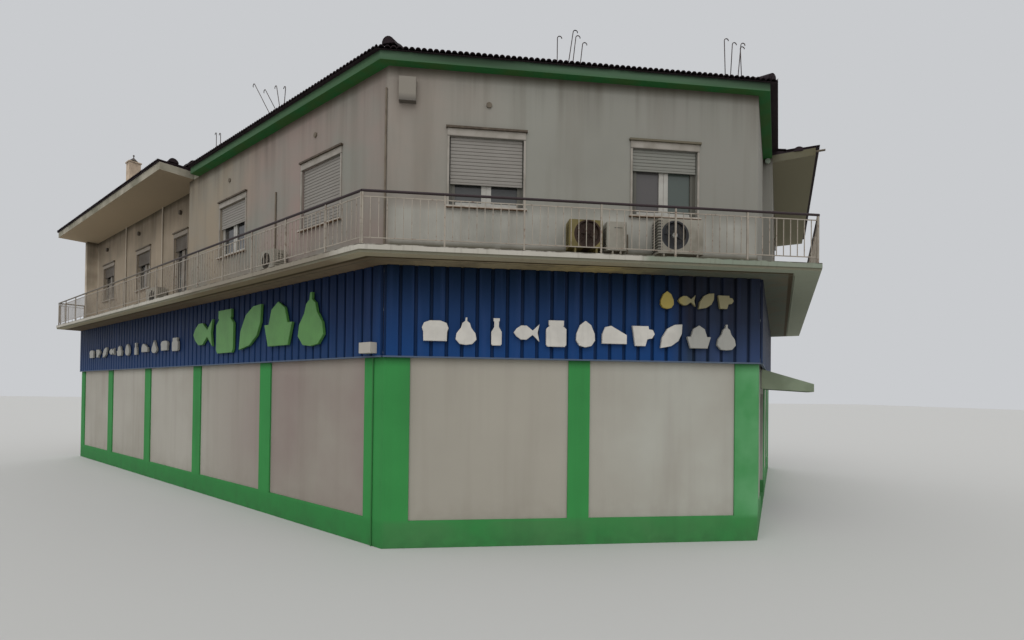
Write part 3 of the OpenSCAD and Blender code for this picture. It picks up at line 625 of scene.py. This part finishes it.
def float_glass(coat):
    """Float glass over dim rooms: dark, with the sky in it"""
    coat.base("#272726", "#3b3b3a", 0.9, 0.3, 0.7)
    coat.layer(coat.up(SILL_Z + 0.35, SILL_Z + 0.05), "#525453")
    # The second front window has a different tint on each leaf, and one wing window is pale over one part of
    # its glass
    leaves = coat.mix(coat.front(4.83, 4.87), "#4d4a49", "#474f4a")
    coat.layer(coat.front(4.0, 4.1), leaves)
    coat.layer(coat.field(LEFT, 12.1, 12.64, SILL_Z, HEAD_Z), "#7a7262")
    coat.done(0.12, specular=0.6)


def streets(name):
    """The names of a node that stands on all three streets."""
    return [name + side for side in ("_left", "_front", "_right")]


# Each finish with the construction nodes that have it
FINISHES = {
    masonry_paint_green: streets("plinth") + streets("pillars"),
    cornice_paint_green: ["block_cornice"],
    board_paint_white: streets("panels"),
    float_render: streets("beam") + ["wall_block_left", "wall_wing_left", "wall_front", "wall_right",
        "party_wall_left", "party_wall_right"],
    chimney_plaster: ["chimney"],
    painted_cast_concrete: ["balcony_slab", "roof_slab", "wing_eave_left_slab", "wing_eave_right_slab"],
    trowelled_screed: ["shop_floor"],
    honed_marble: ["window_sills"],
    coated_sheet_blue: streets("sign"),
    rail_enamel: streets("railing"),
    galvanised_steel: ["sign_rails", "awning_frame"],
    rusted_tin: ["chimney_cap"],
    rusty_bar: ["starter_bars"],
    coated_aluminium: ["window_frames", "entrance_frame"],
    pvc_slats: ["roller_shutters"],
    lid_enamel: ["shutter_boxes"],
    unit_enamel: ["air_conditioners"],
    fitting_paint: ["wall_fittings"],
    awning_canvas: ["entrance_awning"],
    engobed_clay: ["roof", "wing_tiles_left", "wing_tiles_right"],
    float_glass: ["window_glass", "entrance_glass"],
}


def field_tree():
    """A tree that lays an item in rows and columns, each turned a little by a seeded wobble."""
    tree = bpy.data.node_groups.new("lay_rows", "GeometryNodeTree")
    tree.is_modifier = True
    inputs = (("Step Across", "NodeSocketFloat", 0.2), ("Step Up", "NodeSocketFloat", 0.3),
        ("Columns", "NodeSocketInt", 2), ("Rows", "NodeSocketInt", 2), ("Wobble", "NodeSocketFloat", 0.0),
        ("Seed", "NodeSocketInt", 1), ("Item", "NodeSocketObject", None),
        ("Material", "NodeSocketMaterial", None))
    for name, kind, value in inputs:
        socket = tree.interface.new_socket(name, in_out="INPUT", socket_type=kind)
        if value is not None:
            socket.default_value = value
    tree.interface.new_socket("Geometry", in_out="OUTPUT", socket_type="NodeSocketGeometry")
    given = add(tree, "NodeGroupInput").outputs
    points = []
    for step, count in (("Step Across", "Columns"), ("Step Up", "Rows")):
        gaps = add(tree, "ShaderNodeMath", {0: given[count], 1: 1.0}, operation="SUBTRACT").outputs[0]
        size = add(tree, "ShaderNodeMath", {0: gaps, 1: given[step]}, operation="MULTIPLY").outputs[0]
        points.append(add(tree, "ShaderNodeMath", {0: size, 1: 0.5}, operation="MULTIPLY").outputs[0])
        points.append(size)
    grid = add(tree, "GeometryNodeMeshGrid", {"Size X": points[1], "Size Y": points[3],
        "Vertices X": given["Columns"], "Vertices Y": given["Rows"]})
    middle = add(tree, "ShaderNodeCombineXYZ", {0: points[0], 1: points[2]}).outputs[0]
    moved = add(tree, "GeometryNodeTransform", {"Geometry": grid.outputs[0], "Translation": middle})
    item = add(tree, "GeometryNodeObjectInfo", {"Object": given["Item"]})
    least = add(tree, "ShaderNodeMath", {0: given["Wobble"], 1: -1.0}, operation="MULTIPLY").outputs[0]
    turn = add(tree, "FunctionNodeRandomValue", {0: least, 1: given["Wobble"], "Seed": given["Seed"]},
        data_type="FLOAT_VECTOR")
    laid = add(tree, "GeometryNodeInstanceOnPoints", {"Points": moved.outputs[0],
        "Instance": item.outputs["Geometry"], "Rotation": turn.outputs[0]})
    real = add(tree, "GeometryNodeRealizeInstances", {0: laid.outputs[0]})
    done = add(tree, "GeometryNodeSetMaterial", {"Geometry": real.outputs[0],
        "Material": given["Material"]})
    add(tree, "NodeGroupOutput", {"Geometry": done.outputs[0]})
    return tree


def linked(name, data):
    """A new object in the scene."""
    made = bpy.data.objects.new(name, data)
    bpy.context.scene.collection.objects.link(made)
    return made


def as_mesh(name, shell):
    mesh = bpy.data.meshes.new(name)
    shell.to_mesh(mesh)
    shell.free()
    return mesh


def drop(item):
    mesh = item.data
    bpy.data.objects.remove(item)
    bpy.data.meshes.remove(mesh)


def lay(item, material, columns, rows, step_across, step_up, wobble=0.0, seed=1):
    """The item laid in rows by the geometry tree, as a shell."""
    tree = bpy.data.node_groups.get("lay_rows") or field_tree()
    carrier = linked("carrier", bpy.data.meshes.new("carrier"))
    rows_modifier = carrier.modifiers.new("rows", "NODES")
    rows_modifier.node_group = tree
    values = {"Step Across": step_across, "Step Up": step_up, "Columns": columns, "Rows": rows,
        "Wobble": wobble, "Seed": seed, "Item": item, "Material": material}
    for socket in tree.interface.items_tree:
        if socket.item_type == "SOCKET" and socket.in_out == "INPUT":
            rows_modifier[socket.identifier] = values[socket.name]
    bpy.context.view_layer.update()
    evaluated = carrier.evaluated_get(bpy.context.evaluated_depsgraph_get())
    mesh = bpy.data.meshes.new_from_object(evaluated)
    drop(carrier)
    shell = bmesh.new()
    shell.from_mesh(mesh)
    bpy.data.meshes.remove(mesh)
    return shell


def piece(name, shell, material="engobed_clay", soft_angle=40.0):
    """A finished piece at the origin that rides on the building."""
    mesh = as_mesh(name, shell)
    mesh.materials.clear()
    mesh.materials.append(bpy.data.materials[material])
    for face in mesh.polygons:
        face.material_index = 0
        face.use_smooth = True
    mesh.set_sharp_from_angle(angle=math.radians(soft_angle))
    made = linked(name, mesh)
    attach(made, BODY)
    return made


def prism(shell, outline, low, high, place):
    """An outline in X and Y raised from low to high along Z."""
    bottom = [shell.verts.new(place @ Vector((x, y, low))) for x, y in outline]
    top = [shell.verts.new(place @ Vector((x, y, high))) for x, y in outline]
    shell.faces.new(list(reversed(bottom)))
    shell.faces.new(top)
    count = len(outline)
    for k in range(count):
        n = (k + 1) % count
        shell.faces.new((bottom[k], bottom[n], top[n], top[k]))


def tile_item(sizes):
    """One clay tile with two rolls: X across, Y up the slope, Z out of it."""
    rolls = ((0.0, 0.0), (0.1, 0.5), (0.28, 0.9), (0.5, 1.0), (0.72, 0.9), (0.9, 0.5))
    profile = [((k + x) * sizes.tile_w / 2.0, z * sizes.roll) for k in (0, 1) for x, z in rolls]
    profile.append((sizes.tile_w, 0.0))
    shell = bmesh.new()
    rows = []
    lift = sizes.clay * 1.4
    for y, up in ((0.0, lift), (sizes.gauge + sizes.lap, 0.0)):
        rows.append([shell.verts.new((x, y, z + up)) for x, z in profile])
        rows.append([shell.verts.new((x, y, z + up + sizes.clay)) for x, z in profile])
    low_under, low_top, high_under, high_top = rows
    for k in range(len(profile) - 1):
        n = k + 1
        shell.faces.new((low_top[k], low_top[n], high_top[n], high_top[k]))
        shell.faces.new((low_under[n], low_under[k], high_under[k], high_under[n]))
        shell.faces.new((low_under[k], low_under[n], low_top[n], low_top[k]))
        shell.faces.new((high_under[n], high_under[k], high_top[k], high_top[n]))
    shell.faces.new((low_under[0], low_top[0], high_top[0], high_under[0]))
    shell.faces.new((low_top[-1], low_under[-1], high_under[-1], high_top[-1]))
    return linked("clay_tile", as_mesh("clay_tile", shell))


def slopes(node):
    """Each slope of a roof node as its corner points and its outward arrow."""
    groups = {}
    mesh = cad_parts[node].data
    for face in mesh.polygons:
        if SLOPE_UP < face.normal.z < 0.9995:
            key = tuple(round(part, 2) for part in face.normal)
            out, points = groups.setdefault(key, (face.normal.copy(), []))
            points.extend(mesh.vertices[k].co.copy() for k in face.vertices)
    return list(groups.values())


def cut(shell, point, side):
    """The shell without what lies beyond point towards side, closed again."""
    every = shell.verts[:] + shell.edges[:] + shell.faces[:]
    bmesh.ops.bisect_plane(shell, geom=every, plane_co=point, plane_no=side, clear_outer=True)
    rim = [edge for edge in shell.edges if edge.is_boundary]
    bmesh.ops.holes_fill(shell, edges=rim, sides=0)


def tiled_slope(points, out, item, sizes, material, seed):
    """Tiles over one slope, sunk by half their height and cut along its hips."""
    across = Vector((-out.y, out.x, 0.0)).normalized()
    place = placed(min(points, key=lambda point: point.z), across, out)
    flat = [place.inverted() @ point for point in points]
    hull = [flat[k] for k in convex_hull_2d([point.to_2d() for point in flat])]
    left = min(point.x for point in hull)
    right = max(point.x for point in hull)
    top = max(point.y for point in hull)
    columns = math.ceil((right - left) / sizes.tile_w) + 2
    rows = math.ceil((top + sizes.overhang) / sizes.gauge)
    shell = lay(item, material, columns, rows, sizes.tile_w, sizes.gauge, sizes.wobble, seed)
    start = (left + right - columns * sizes.tile_w) / 2.0
    shell.transform(Matrix.Translation((start, -sizes.overhang, -sizes.sink)))
    middle = sum(hull, Vector()) / len(hull)
    for k, point in enumerate(hull):
        after = hull[(k + 1) % len(hull)]
        if point.y < 0.05 and after.y < 0.05:
            continue
        side = (after - point).cross(Vector((0.0, 0.0, 1.0))).normalized()
        if side.dot(middle - point) > 0.0:
            side.negate()
        cut(shell, point, side)
    shell.transform(place)
    return trimmed(shell)


def trimmed(shell):
    """The shell without what stands out of the building's own box."""
    low, high = [Vector(corner) for corner in CAD_BOX]
    for corner, sign in ((low, -1.0), (high, 1.0)):
        for side in (Vector((sign, 0.0, 0.0)), Vector((0.0, sign, 0.0))):
            if any(side.dot(point.co - corner) > 0.0 for point in shell.verts):
                cut(shell, corner, side)
    return shell


def split_at_wing(shell, face, start, near, far):
    """A slope's tiles as far out as near over the block, and as far out as far over the wing."""
    wing = shell.copy()
    cut(shell, face.at(start, 0.0, 0.0), face.along)
    cut(shell, face.at(0.0, near, 0.0), face.out)
    cut(wing, face.at(start, 0.0, 0.0), -face.along)
    cut(wing, face.at(0.0, far, 0.0), face.out)
    return [shell, wing]


def join(shells):
    """Several shells as one."""
    whole = bmesh.new()
    for shell in shells:
        mesh = as_mesh("part", shell)
        whole.from_mesh(mesh)
        bpy.data.meshes.remove(mesh)
    return whole


def cap_item(sizes):
    """A tapered half-round cap tile: X across, Y along, Z up, open to the deck."""
    shell = bmesh.new()
    rings = []
    long = sizes.cap_step + 0.05
    for y, r in ((0.0, sizes.cap_r), (long, sizes.cap_r * 0.86)):
        for thick in (0.0, sizes.clay):
            ring = []
            for k in range(9):
                a = math.pi * k / 8.0
                ring.append(shell.verts.new(((r - thick) * math.cos(a), y, (r - thick) * math.sin(a))))
            rings.append(ring)
    low, low_in, high, high_in = rings
    for k in range(8):
        n = k + 1
        shell.faces.new((low[k], high[k], high[n], low[n]))
        shell.faces.new((low_in[n], high_in[n], high_in[k], low_in[k]))
        shell.faces.new((low[k], low[n], low_in[n], low_in[k]))
        shell.faces.new((high[n], high[k], high_in[k], high_in[n]))
    shell.faces.new((low[0], low_in[0], high_in[0], high[0]))
    shell.faces.new((low_in[8], low[8], high[8], high_in[8]))
    bmesh.ops.recalc_face_normals(shell, faces=shell.faces)
    return linked("cap_tile", as_mesh("cap_tile", shell))


def cap_run(item, material, sizes, low, high, out):
    """A row of cap tiles from low to high with a mortar plug in its low end."""
    along = (high - low).normalized()
    out = (out - along * out.dot(along)).normalized()
    low = low + along * sizes.cap_start
    count = max(1, round((high - low).length / sizes.cap_step))
    shell = lay(item, material, 1, count, 0.1, (high - low).length / count)
    shell.transform(placed(low, along.cross(out), out))
    place = placed(low, out.cross(along), along)
    for r, y0, y1 in ((sizes.cap_r * 0.6, -0.03, -0.015), (sizes.cap_r * 0.85, -0.015, 0.04)):
        ring = [(r * math.cos(math.pi * k / 10.0), r * math.sin(math.pi * k / 10.0)) for k in range(11)]
        prism(shell, ring, y0, y1, place)
    return shell


def welded(node):
    """A copy of a node's shell with its corners joined."""
    shell = bmesh.new()
    shell.from_mesh(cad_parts[node].data)
    bmesh.ops.remove_doubles(shell, verts=shell.verts, dist=0.0005)
    return shell


def ridge_lines(node):
    """Hips and ridges of a roof node, from low end to high end."""
    shell = welded(node)
    bmesh.ops.dissolve_limit(shell, angle_limit=0.003, verts=shell.verts, edges=shell.edges)
    found = []
    for edge in shell.edges:
        sides = [face.normal for face in edge.link_faces]
        if len(sides) == 2 and min(side.z for side in sides) > SLOPE_UP and edge.is_convex:
            ends = sorted((corner.co.copy() for corner in edge.verts), key=lambda end: end.z)
            found.append((ends[0], ends[1], (sides[0] + sides[1]).normalized()))
    shell.free()
    return found


class SHOP_OT_finishes(bpy.types.Operator):
    """Make the finishes and give each construction node its own"""
    bl_idname = "shop.finishes"
    bl_label = "Finishes"

    def execute(self, context):
        for finish, nodes in FINISHES.items():
            finish(Coat(finish.__name__, context.scene.shop_colours))
            for node in nodes:
                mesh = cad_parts[node].data
                mesh.materials.clear()
                mesh.materials.append(bpy.data.materials[finish.__name__])
        return {"FINISHED"}


# Low ends of the hips over the street corners: how far they are laid across and up
CAP_SHIFTS = ((FRONT, 0.17, 0.08), (RIGHT, -0.07, 0.02))
# Caps along the wings: node, start and end along the street, place out of it, how far sunk
WING_CAPS = (
    ("wing_tiles_left", EAVE_LEFT_AT, LEFT_LEN, 0.47, -0.04),
    ("wing_tiles_left", EAVE_LEFT_AT - 0.2, LEFT_LEN, 0.07, -0.06),
    ("wing_tiles_right", BLOCK_RIGHT, RIGHT_LEN, 0.72, 0.05),
)


class SHOP_OT_roof_tiles(bpy.types.Operator):
    """Lay the tiles and the cap tiles on the roof slopes"""
    bl_idname = "shop.roof_tiles"
    bl_label = "Roof Tiles"

    def execute(self, context):
        sizes = context.scene.shop_roof
        clay = bpy.data.materials["engobed_clay"]
        item = tile_item(sizes)
        wings = {}
        for node, face, start in (("wing_tiles_left", LEFT, CORNICE_END),
                ("wing_tiles_right", RIGHT, BLOCK_RIGHT)):
            # The flattest slope is the apron; a steeper one carries on the roof's own slope
            found = sorted(slopes(node), key=lambda slope: slope[0].z)
            if not found:
                raise RuntimeError("no slope found on " + node)
            out, points = found[-1]
            piece(node + "_laid", tiled_slope(points, out, item, sizes, clay, sizes.seed + 9))
            far = min(face.out.dot(point - face.start) for point in points)
            extra = found[0][1] if len(found) > 1 else []
            wings[node] = (face, start, far, extra)
        for k, (out, points) in enumerate(slopes("roof")):
            flat_out = Vector((out.x, out.y, 0.0)).normalized()
            wing = [given for given in wings.values() if flat_out.dot(given[0].out) > 0.99]
            if wing:
                face, start, far, extra = wing[0]
                near = max(face.out.dot(point - face.start) for point in points) + sizes.overhang
                shell = tiled_slope(points + extra, out, item, sizes, clay, sizes.seed + k)
                for n, part in enumerate(split_at_wing(shell, face, start, near, far)):
                    piece("roof_tiles_%d_%d" % (k, n), part)
            else:
                piece("roof_tiles_%d" % k, tiled_slope(points, out, item, sizes, clay, sizes.seed + k))
        drop(item)
        for node in ("roof", "wing_tiles_left", "wing_tiles_right"):
            # The solid's top is the middle of the tiles, so the bed under them lies lower
            shell = welded(node)
            lowest = min(corner.co.z for corner in shell.verts)
            for corner in shell.verts:
                if corner.co.z > lowest + 0.001:
                    corner.co.z = max(corner.co.z - sizes.sink, lowest + 0.002)
            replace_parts(piece(node + "_bed", shell, soft_angle=20.0), node)
        item = cap_item(sizes)
        shells = []
        for low, high, out in ridge_lines("roof"):
            for face, across, lift in CAP_SHIFTS:
                if (low - face.start).to_2d().length < 0.7:
                    low = low + Vector((across, 0.0, lift))
            shells.append(cap_run(item, clay, sizes, low, high, out))
        for node, t, far_t, o, sunk in WING_CAPS:
            face = wings[node][0]
            out, points = max(slopes(node), key=lambda slope: slope[0].z)
            ends = [face.at(along, o, 0.0) for along in (t + 0.01 - sizes.cap_start, far_t)]
            for end in ends:
                end.z = points[0].z - sunk - (end - points[0]).to_2d().dot(out.to_2d()) / out.z
            shells.append(cap_run(item, clay, sizes, ends[0], ends[1], out))
        piece("hip_caps", trimmed(join(shells)))
        drop(item)
        return {"FINISHED"}


# Plain food shapes for the sign places, in a unit square
SHAPES = {
    "bottle": ((.34, 0), (.66, 0), (.7, .05), (.7, .5), (.59, .68), (.59, .9), (.62, .9), (.62, 1), (.38, 1),
        (.38, .9), (.41, .9), (.41, .68), (.3, .5), (.3, .05)),
    "pear": ((.5, 0), (.26, .03), (.1, .2), (.14, .42), (.3, .62), (.36, .8), (.46, .87), (.48, 1), (.54, 1),
        (.54, .87), (.64, .8), (.7, .62), (.86, .42), (.9, .2), (.74, .03)),
    "loaf": ((.06, .12), (.94, .12), (.95, .45), (1, .6), (.92, .78), (.7, .86), (.3, .86), (.08, .78),
        (0, .6), (.05, .45)),
    "fish": ((0, .5), (.1, .64), (.28, .76), (.5, .76), (.74, .58), (1, .82), (.93, .5), (1, .18),
        (.74, .42), (.5, .24), (.28, .24), (.1, .36)),
    "cup": ((.06, .86), (.72, .86), (.74, .74), (.9, .72), (.98, .56), (.88, .4), (.68, .36), (.6, .1),
        (.18, .1)),
    "wedge": ((0, .16), (1, .16), (1, .5), (.36, .84), (.12, .78), (0, .5)),
    "egg": ((.5, 0), (.26, .06), (.12, .26), (.14, .52), (.28, .84), (.5, 1), (.72, .84), (.86, .52),
        (.88, .26), (.74, .06)),
    "jar": ((.16, 0), (.84, 0), (.9, .08), (.9, .66), (.76, .78), (.8, .8), (.8, .98), (.2, .98), (.2, .8),
        (.24, .78), (.1, .66), (.1, .08)),
    "leaf": ((.06, .04), (.12, .44), (.34, .78), (.64, .94), (.96, .96), (.94, .6), (.8, .32), (.5, .12)),
    "basket": ((.14, .06), (.86, .06), (1, .5), (.84, .5), (.74, .8), (.5, .94), (.26, .8), (.16, .5),
        (0, .5)),
}


def sign_shape(shell, kind, face, t, z, wide, high, sizes):
    """One raised shape on two pins, centred at t with its foot at z."""
    outline = [((x - 0.5) * wide, y * high) for x, y in SHAPES[kind]]
    place = face.matrix(t, SIGN_OUT, z)
    top = sizes.gap + sizes.depth
    prism(shell, outline, sizes.gap, top - CHAMFER, place)
    middle = Vector((0.0, high * 0.5))
    inner = [tuple(middle + (Vector(p) - middle) * (1.0 - 2.0 * CHAMFER / high)) for p in outline]
    prism(shell, inner, top - CHAMFER, top, place)
    for y in (0.3, 0.62):
        pin = [(PIN_R * math.cos(a * math.pi / 4.0), y * high + PIN_R * math.sin(a * math.pi / 4.0))
            for a in range(8)]
        prism(shell, pin, -0.03, sizes.gap, place)


class SHOP_OT_sign_shapes(bpy.types.Operator):
    """Set plain raised shapes in the places of the sign band"""
    bl_idname = "shop.sign_shapes"
    bl_label = "Sign Shapes"

    def execute(self, context):
        sizes = context.scene.shop_sign
        for name in ("white", "yellow", "green"):
            # Gloss paint on cut sheet, chalked by the sun
            coat = Coat("sign_paint_" + name, sizes)
            coat.base(coat.own(name), coat.own(name, 0.82), 0.3, 0.4, 0.7)
            coat.layer(coat.cloud(0.05, 0.55, 0.8, 0.1), coat.own(name, 0.6), 0.35)
            # The last shapes of the front are greyed by dust and painted glare, like the sheet behind them,
            # and the far ones of the left street are greyed too
            greyed_shapes = coat.both(coat.front(4.9, 5.3), coat.left(7.8, 8.1), "ADD")
            coat.layer(greyed_shapes, coat.mix(0.7, coat.own(name, 0.4), "#6f726c"), 0.7)
            coat.done(0.5, coat.cloud(0.01), 0.0002)
        rows = (
            ("white", FRONT, 0.58, 6.22, 3.42, 0.46, 0.44, ("loaf", "pear", "bottle", "fish", "jar", "egg",
                "wedge", "cup", "leaf", "basket", "pear")),
            ("yellow", FRONT, 4.68, 6.12, 4.13, 0.31, 0.32, ("egg", "fish", "leaf", "cup")),
            ("far_white", LEFT, 8.16, 16.5, 3.62, 0.36, 0.5, ("jar", "loaf", "pear", "wedge", "bottle",
                "egg", "basket", "fish", "leaf", "cup", "loaf")),
            ("green", LEFT, 1.4, 7.4, 3.46, 1.02, 1.1, ("pear", "basket", "leaf", "jar", "fish")),
        )
        for name, face, start, end, z, high, wide, kinds in rows:
            shell = bmesh.new()
            step = (end - start) / len(kinds)
            for k, kind in enumerate(kinds):
                sign_shape(shell, kind, face, start + step * (k + 0.5), z, wide, high, sizes)
            colour = "white" if name == "far_white" else name
            piece("sign_shapes_" + name, shell, "sign_paint_" + colour)
        return {"FINISHED"}


class SHOP_OT_stage(bpy.types.Operator):
    """Set the camera, the floor, the sky and the lamp"""
    bl_idname = "shop.stage"
    bl_label = "Stage"

    def execute(self, context):
        view = context.scene.shop_view
        scene = context.scene
        wide, tall = 1024.0, 640.0
        across = Vector((math.cos(view.yaw), -math.sin(view.yaw), 0.0))
        look = Vector((math.sin(view.yaw) * math.cos(view.pitch),
            math.cos(view.yaw) * math.cos(view.pitch), math.sin(view.pitch)))
        up = across.cross(look)
        right = across * math.cos(view.roll) + up * math.sin(view.roll)
        above = up * math.cos(view.roll) - across * math.sin(view.roll)
        camera = bpy.data.cameras.new("street_view")
        camera.sensor_width = 36.0
        camera.lens = 36.0 * view.focal_px / wide
        camera.shift_y = (view.horizon_px - tall / 2.0) / wide
        camera.clip_end = 400.0
        turn = Matrix((right, above, -look)).transposed().to_4x4()
        scene.camera = linked("street_view", camera)
        scene.camera.matrix_world = Matrix.Translation(
            FRONT.at(view.eye_t, view.eye_out, view.eye_z)) @ turn

        scene.view_settings.view_transform = "Standard"
        bpy.ops.mesh.primitive_plane_add(size=240.0, location=(0.0, 0.0, -0.002))
        floor = context.object
        floor.name = "floor"
        # Pale matt studio floor
        coat = Coat("studio_floor")
        coat.colour = linear("#b9b9b7")
        coat.done(0.9)
        floor.data.materials.append(bpy.data.materials["studio_floor"])

        world = bpy.data.worlds.new("studio")
        world.use_nodes = True
        tree = world.node_tree
        tree.nodes.clear()
        path = add(tree, "ShaderNodeLightPath").outputs
        seen = path["Is Camera Ray"]
        for ray in ("Is Glossy Ray", "Is Transmission Ray"):
            seen = add(tree, "ShaderNodeMath", {0: seen, 1: path[ray]}, operation="ADD",
                use_clamp=True).outputs[0]
        light = add(tree, "ShaderNodeBackground", {"Color": linear("#ffffff"), "Strength": 0.85})
        sky = add(tree, "ShaderNodeBackground", {"Color": linear("#c9cbce"), "Strength": 1.0})
        blend = add(tree, "ShaderNodeMixShader", {0: seen, 1: light.outputs[0], 2: sky.outputs[0]})
        add(tree, "ShaderNodeOutputWorld", {"Surface": blend.outputs[0]})
        scene.world = world
        lamp = bpy.data.lights.new("soft_sun", "SUN")
        lamp.energy = 1.0
        lamp.angle = math.radians(60.0)
        linked("soft_sun", lamp).rotation_euler = (math.radians(38.0), 0.0, math.radians(-12.0))
        return {"FINISHED"}


OPERATORS = (SHOP_OT_finishes, SHOP_OT_roof_tiles, SHOP_OT_sign_shapes, SHOP_OT_stage)


class SHOP_PT_panel(bpy.types.Panel):
    """Lists the steps that dress the building"""
    bl_idname = "SHOP_PT_panel"
    bl_label = "Corner Shop"
    bl_space_type = "VIEW_3D"
    bl_region_type = "UI"
    bl_category = "Corner Shop"

    def draw(self, context):
        for operator in OPERATORS:
            self.layout.operator(operator.bl_idname)


GROUPS = {"shop_colours": ShopColours, "shop_roof": RoofSizes, "shop_sign": SignSizes,
    "shop_view": ViewPlace}


def register():
    for group in GROUPS.values():
        bpy.utils.register_class(group)
    for name, group in GROUPS.items():
        setattr(bpy.types.Scene, name, PointerProperty(type=group))
    for operator in OPERATORS:
        bpy.utils.register_class(operator)
    bpy.utils.register_class(SHOP_PT_panel)


def unregister():
    bpy.utils.unregister_class(SHOP_PT_panel)
    for operator in reversed(OPERATORS):
        bpy.utils.unregister_class(operator)
    for name, group in GROUPS.items():
        delattr(bpy.types.Scene, name)
        bpy.utils.unregister_class(group)


def main():
    register()
    bpy.ops.shop.finishes()
    bpy.ops.shop.roof_tiles()
    bpy.ops.shop.sign_shapes()
    bpy.ops.shop.stage()


if __name__ == "__main__":
    main()
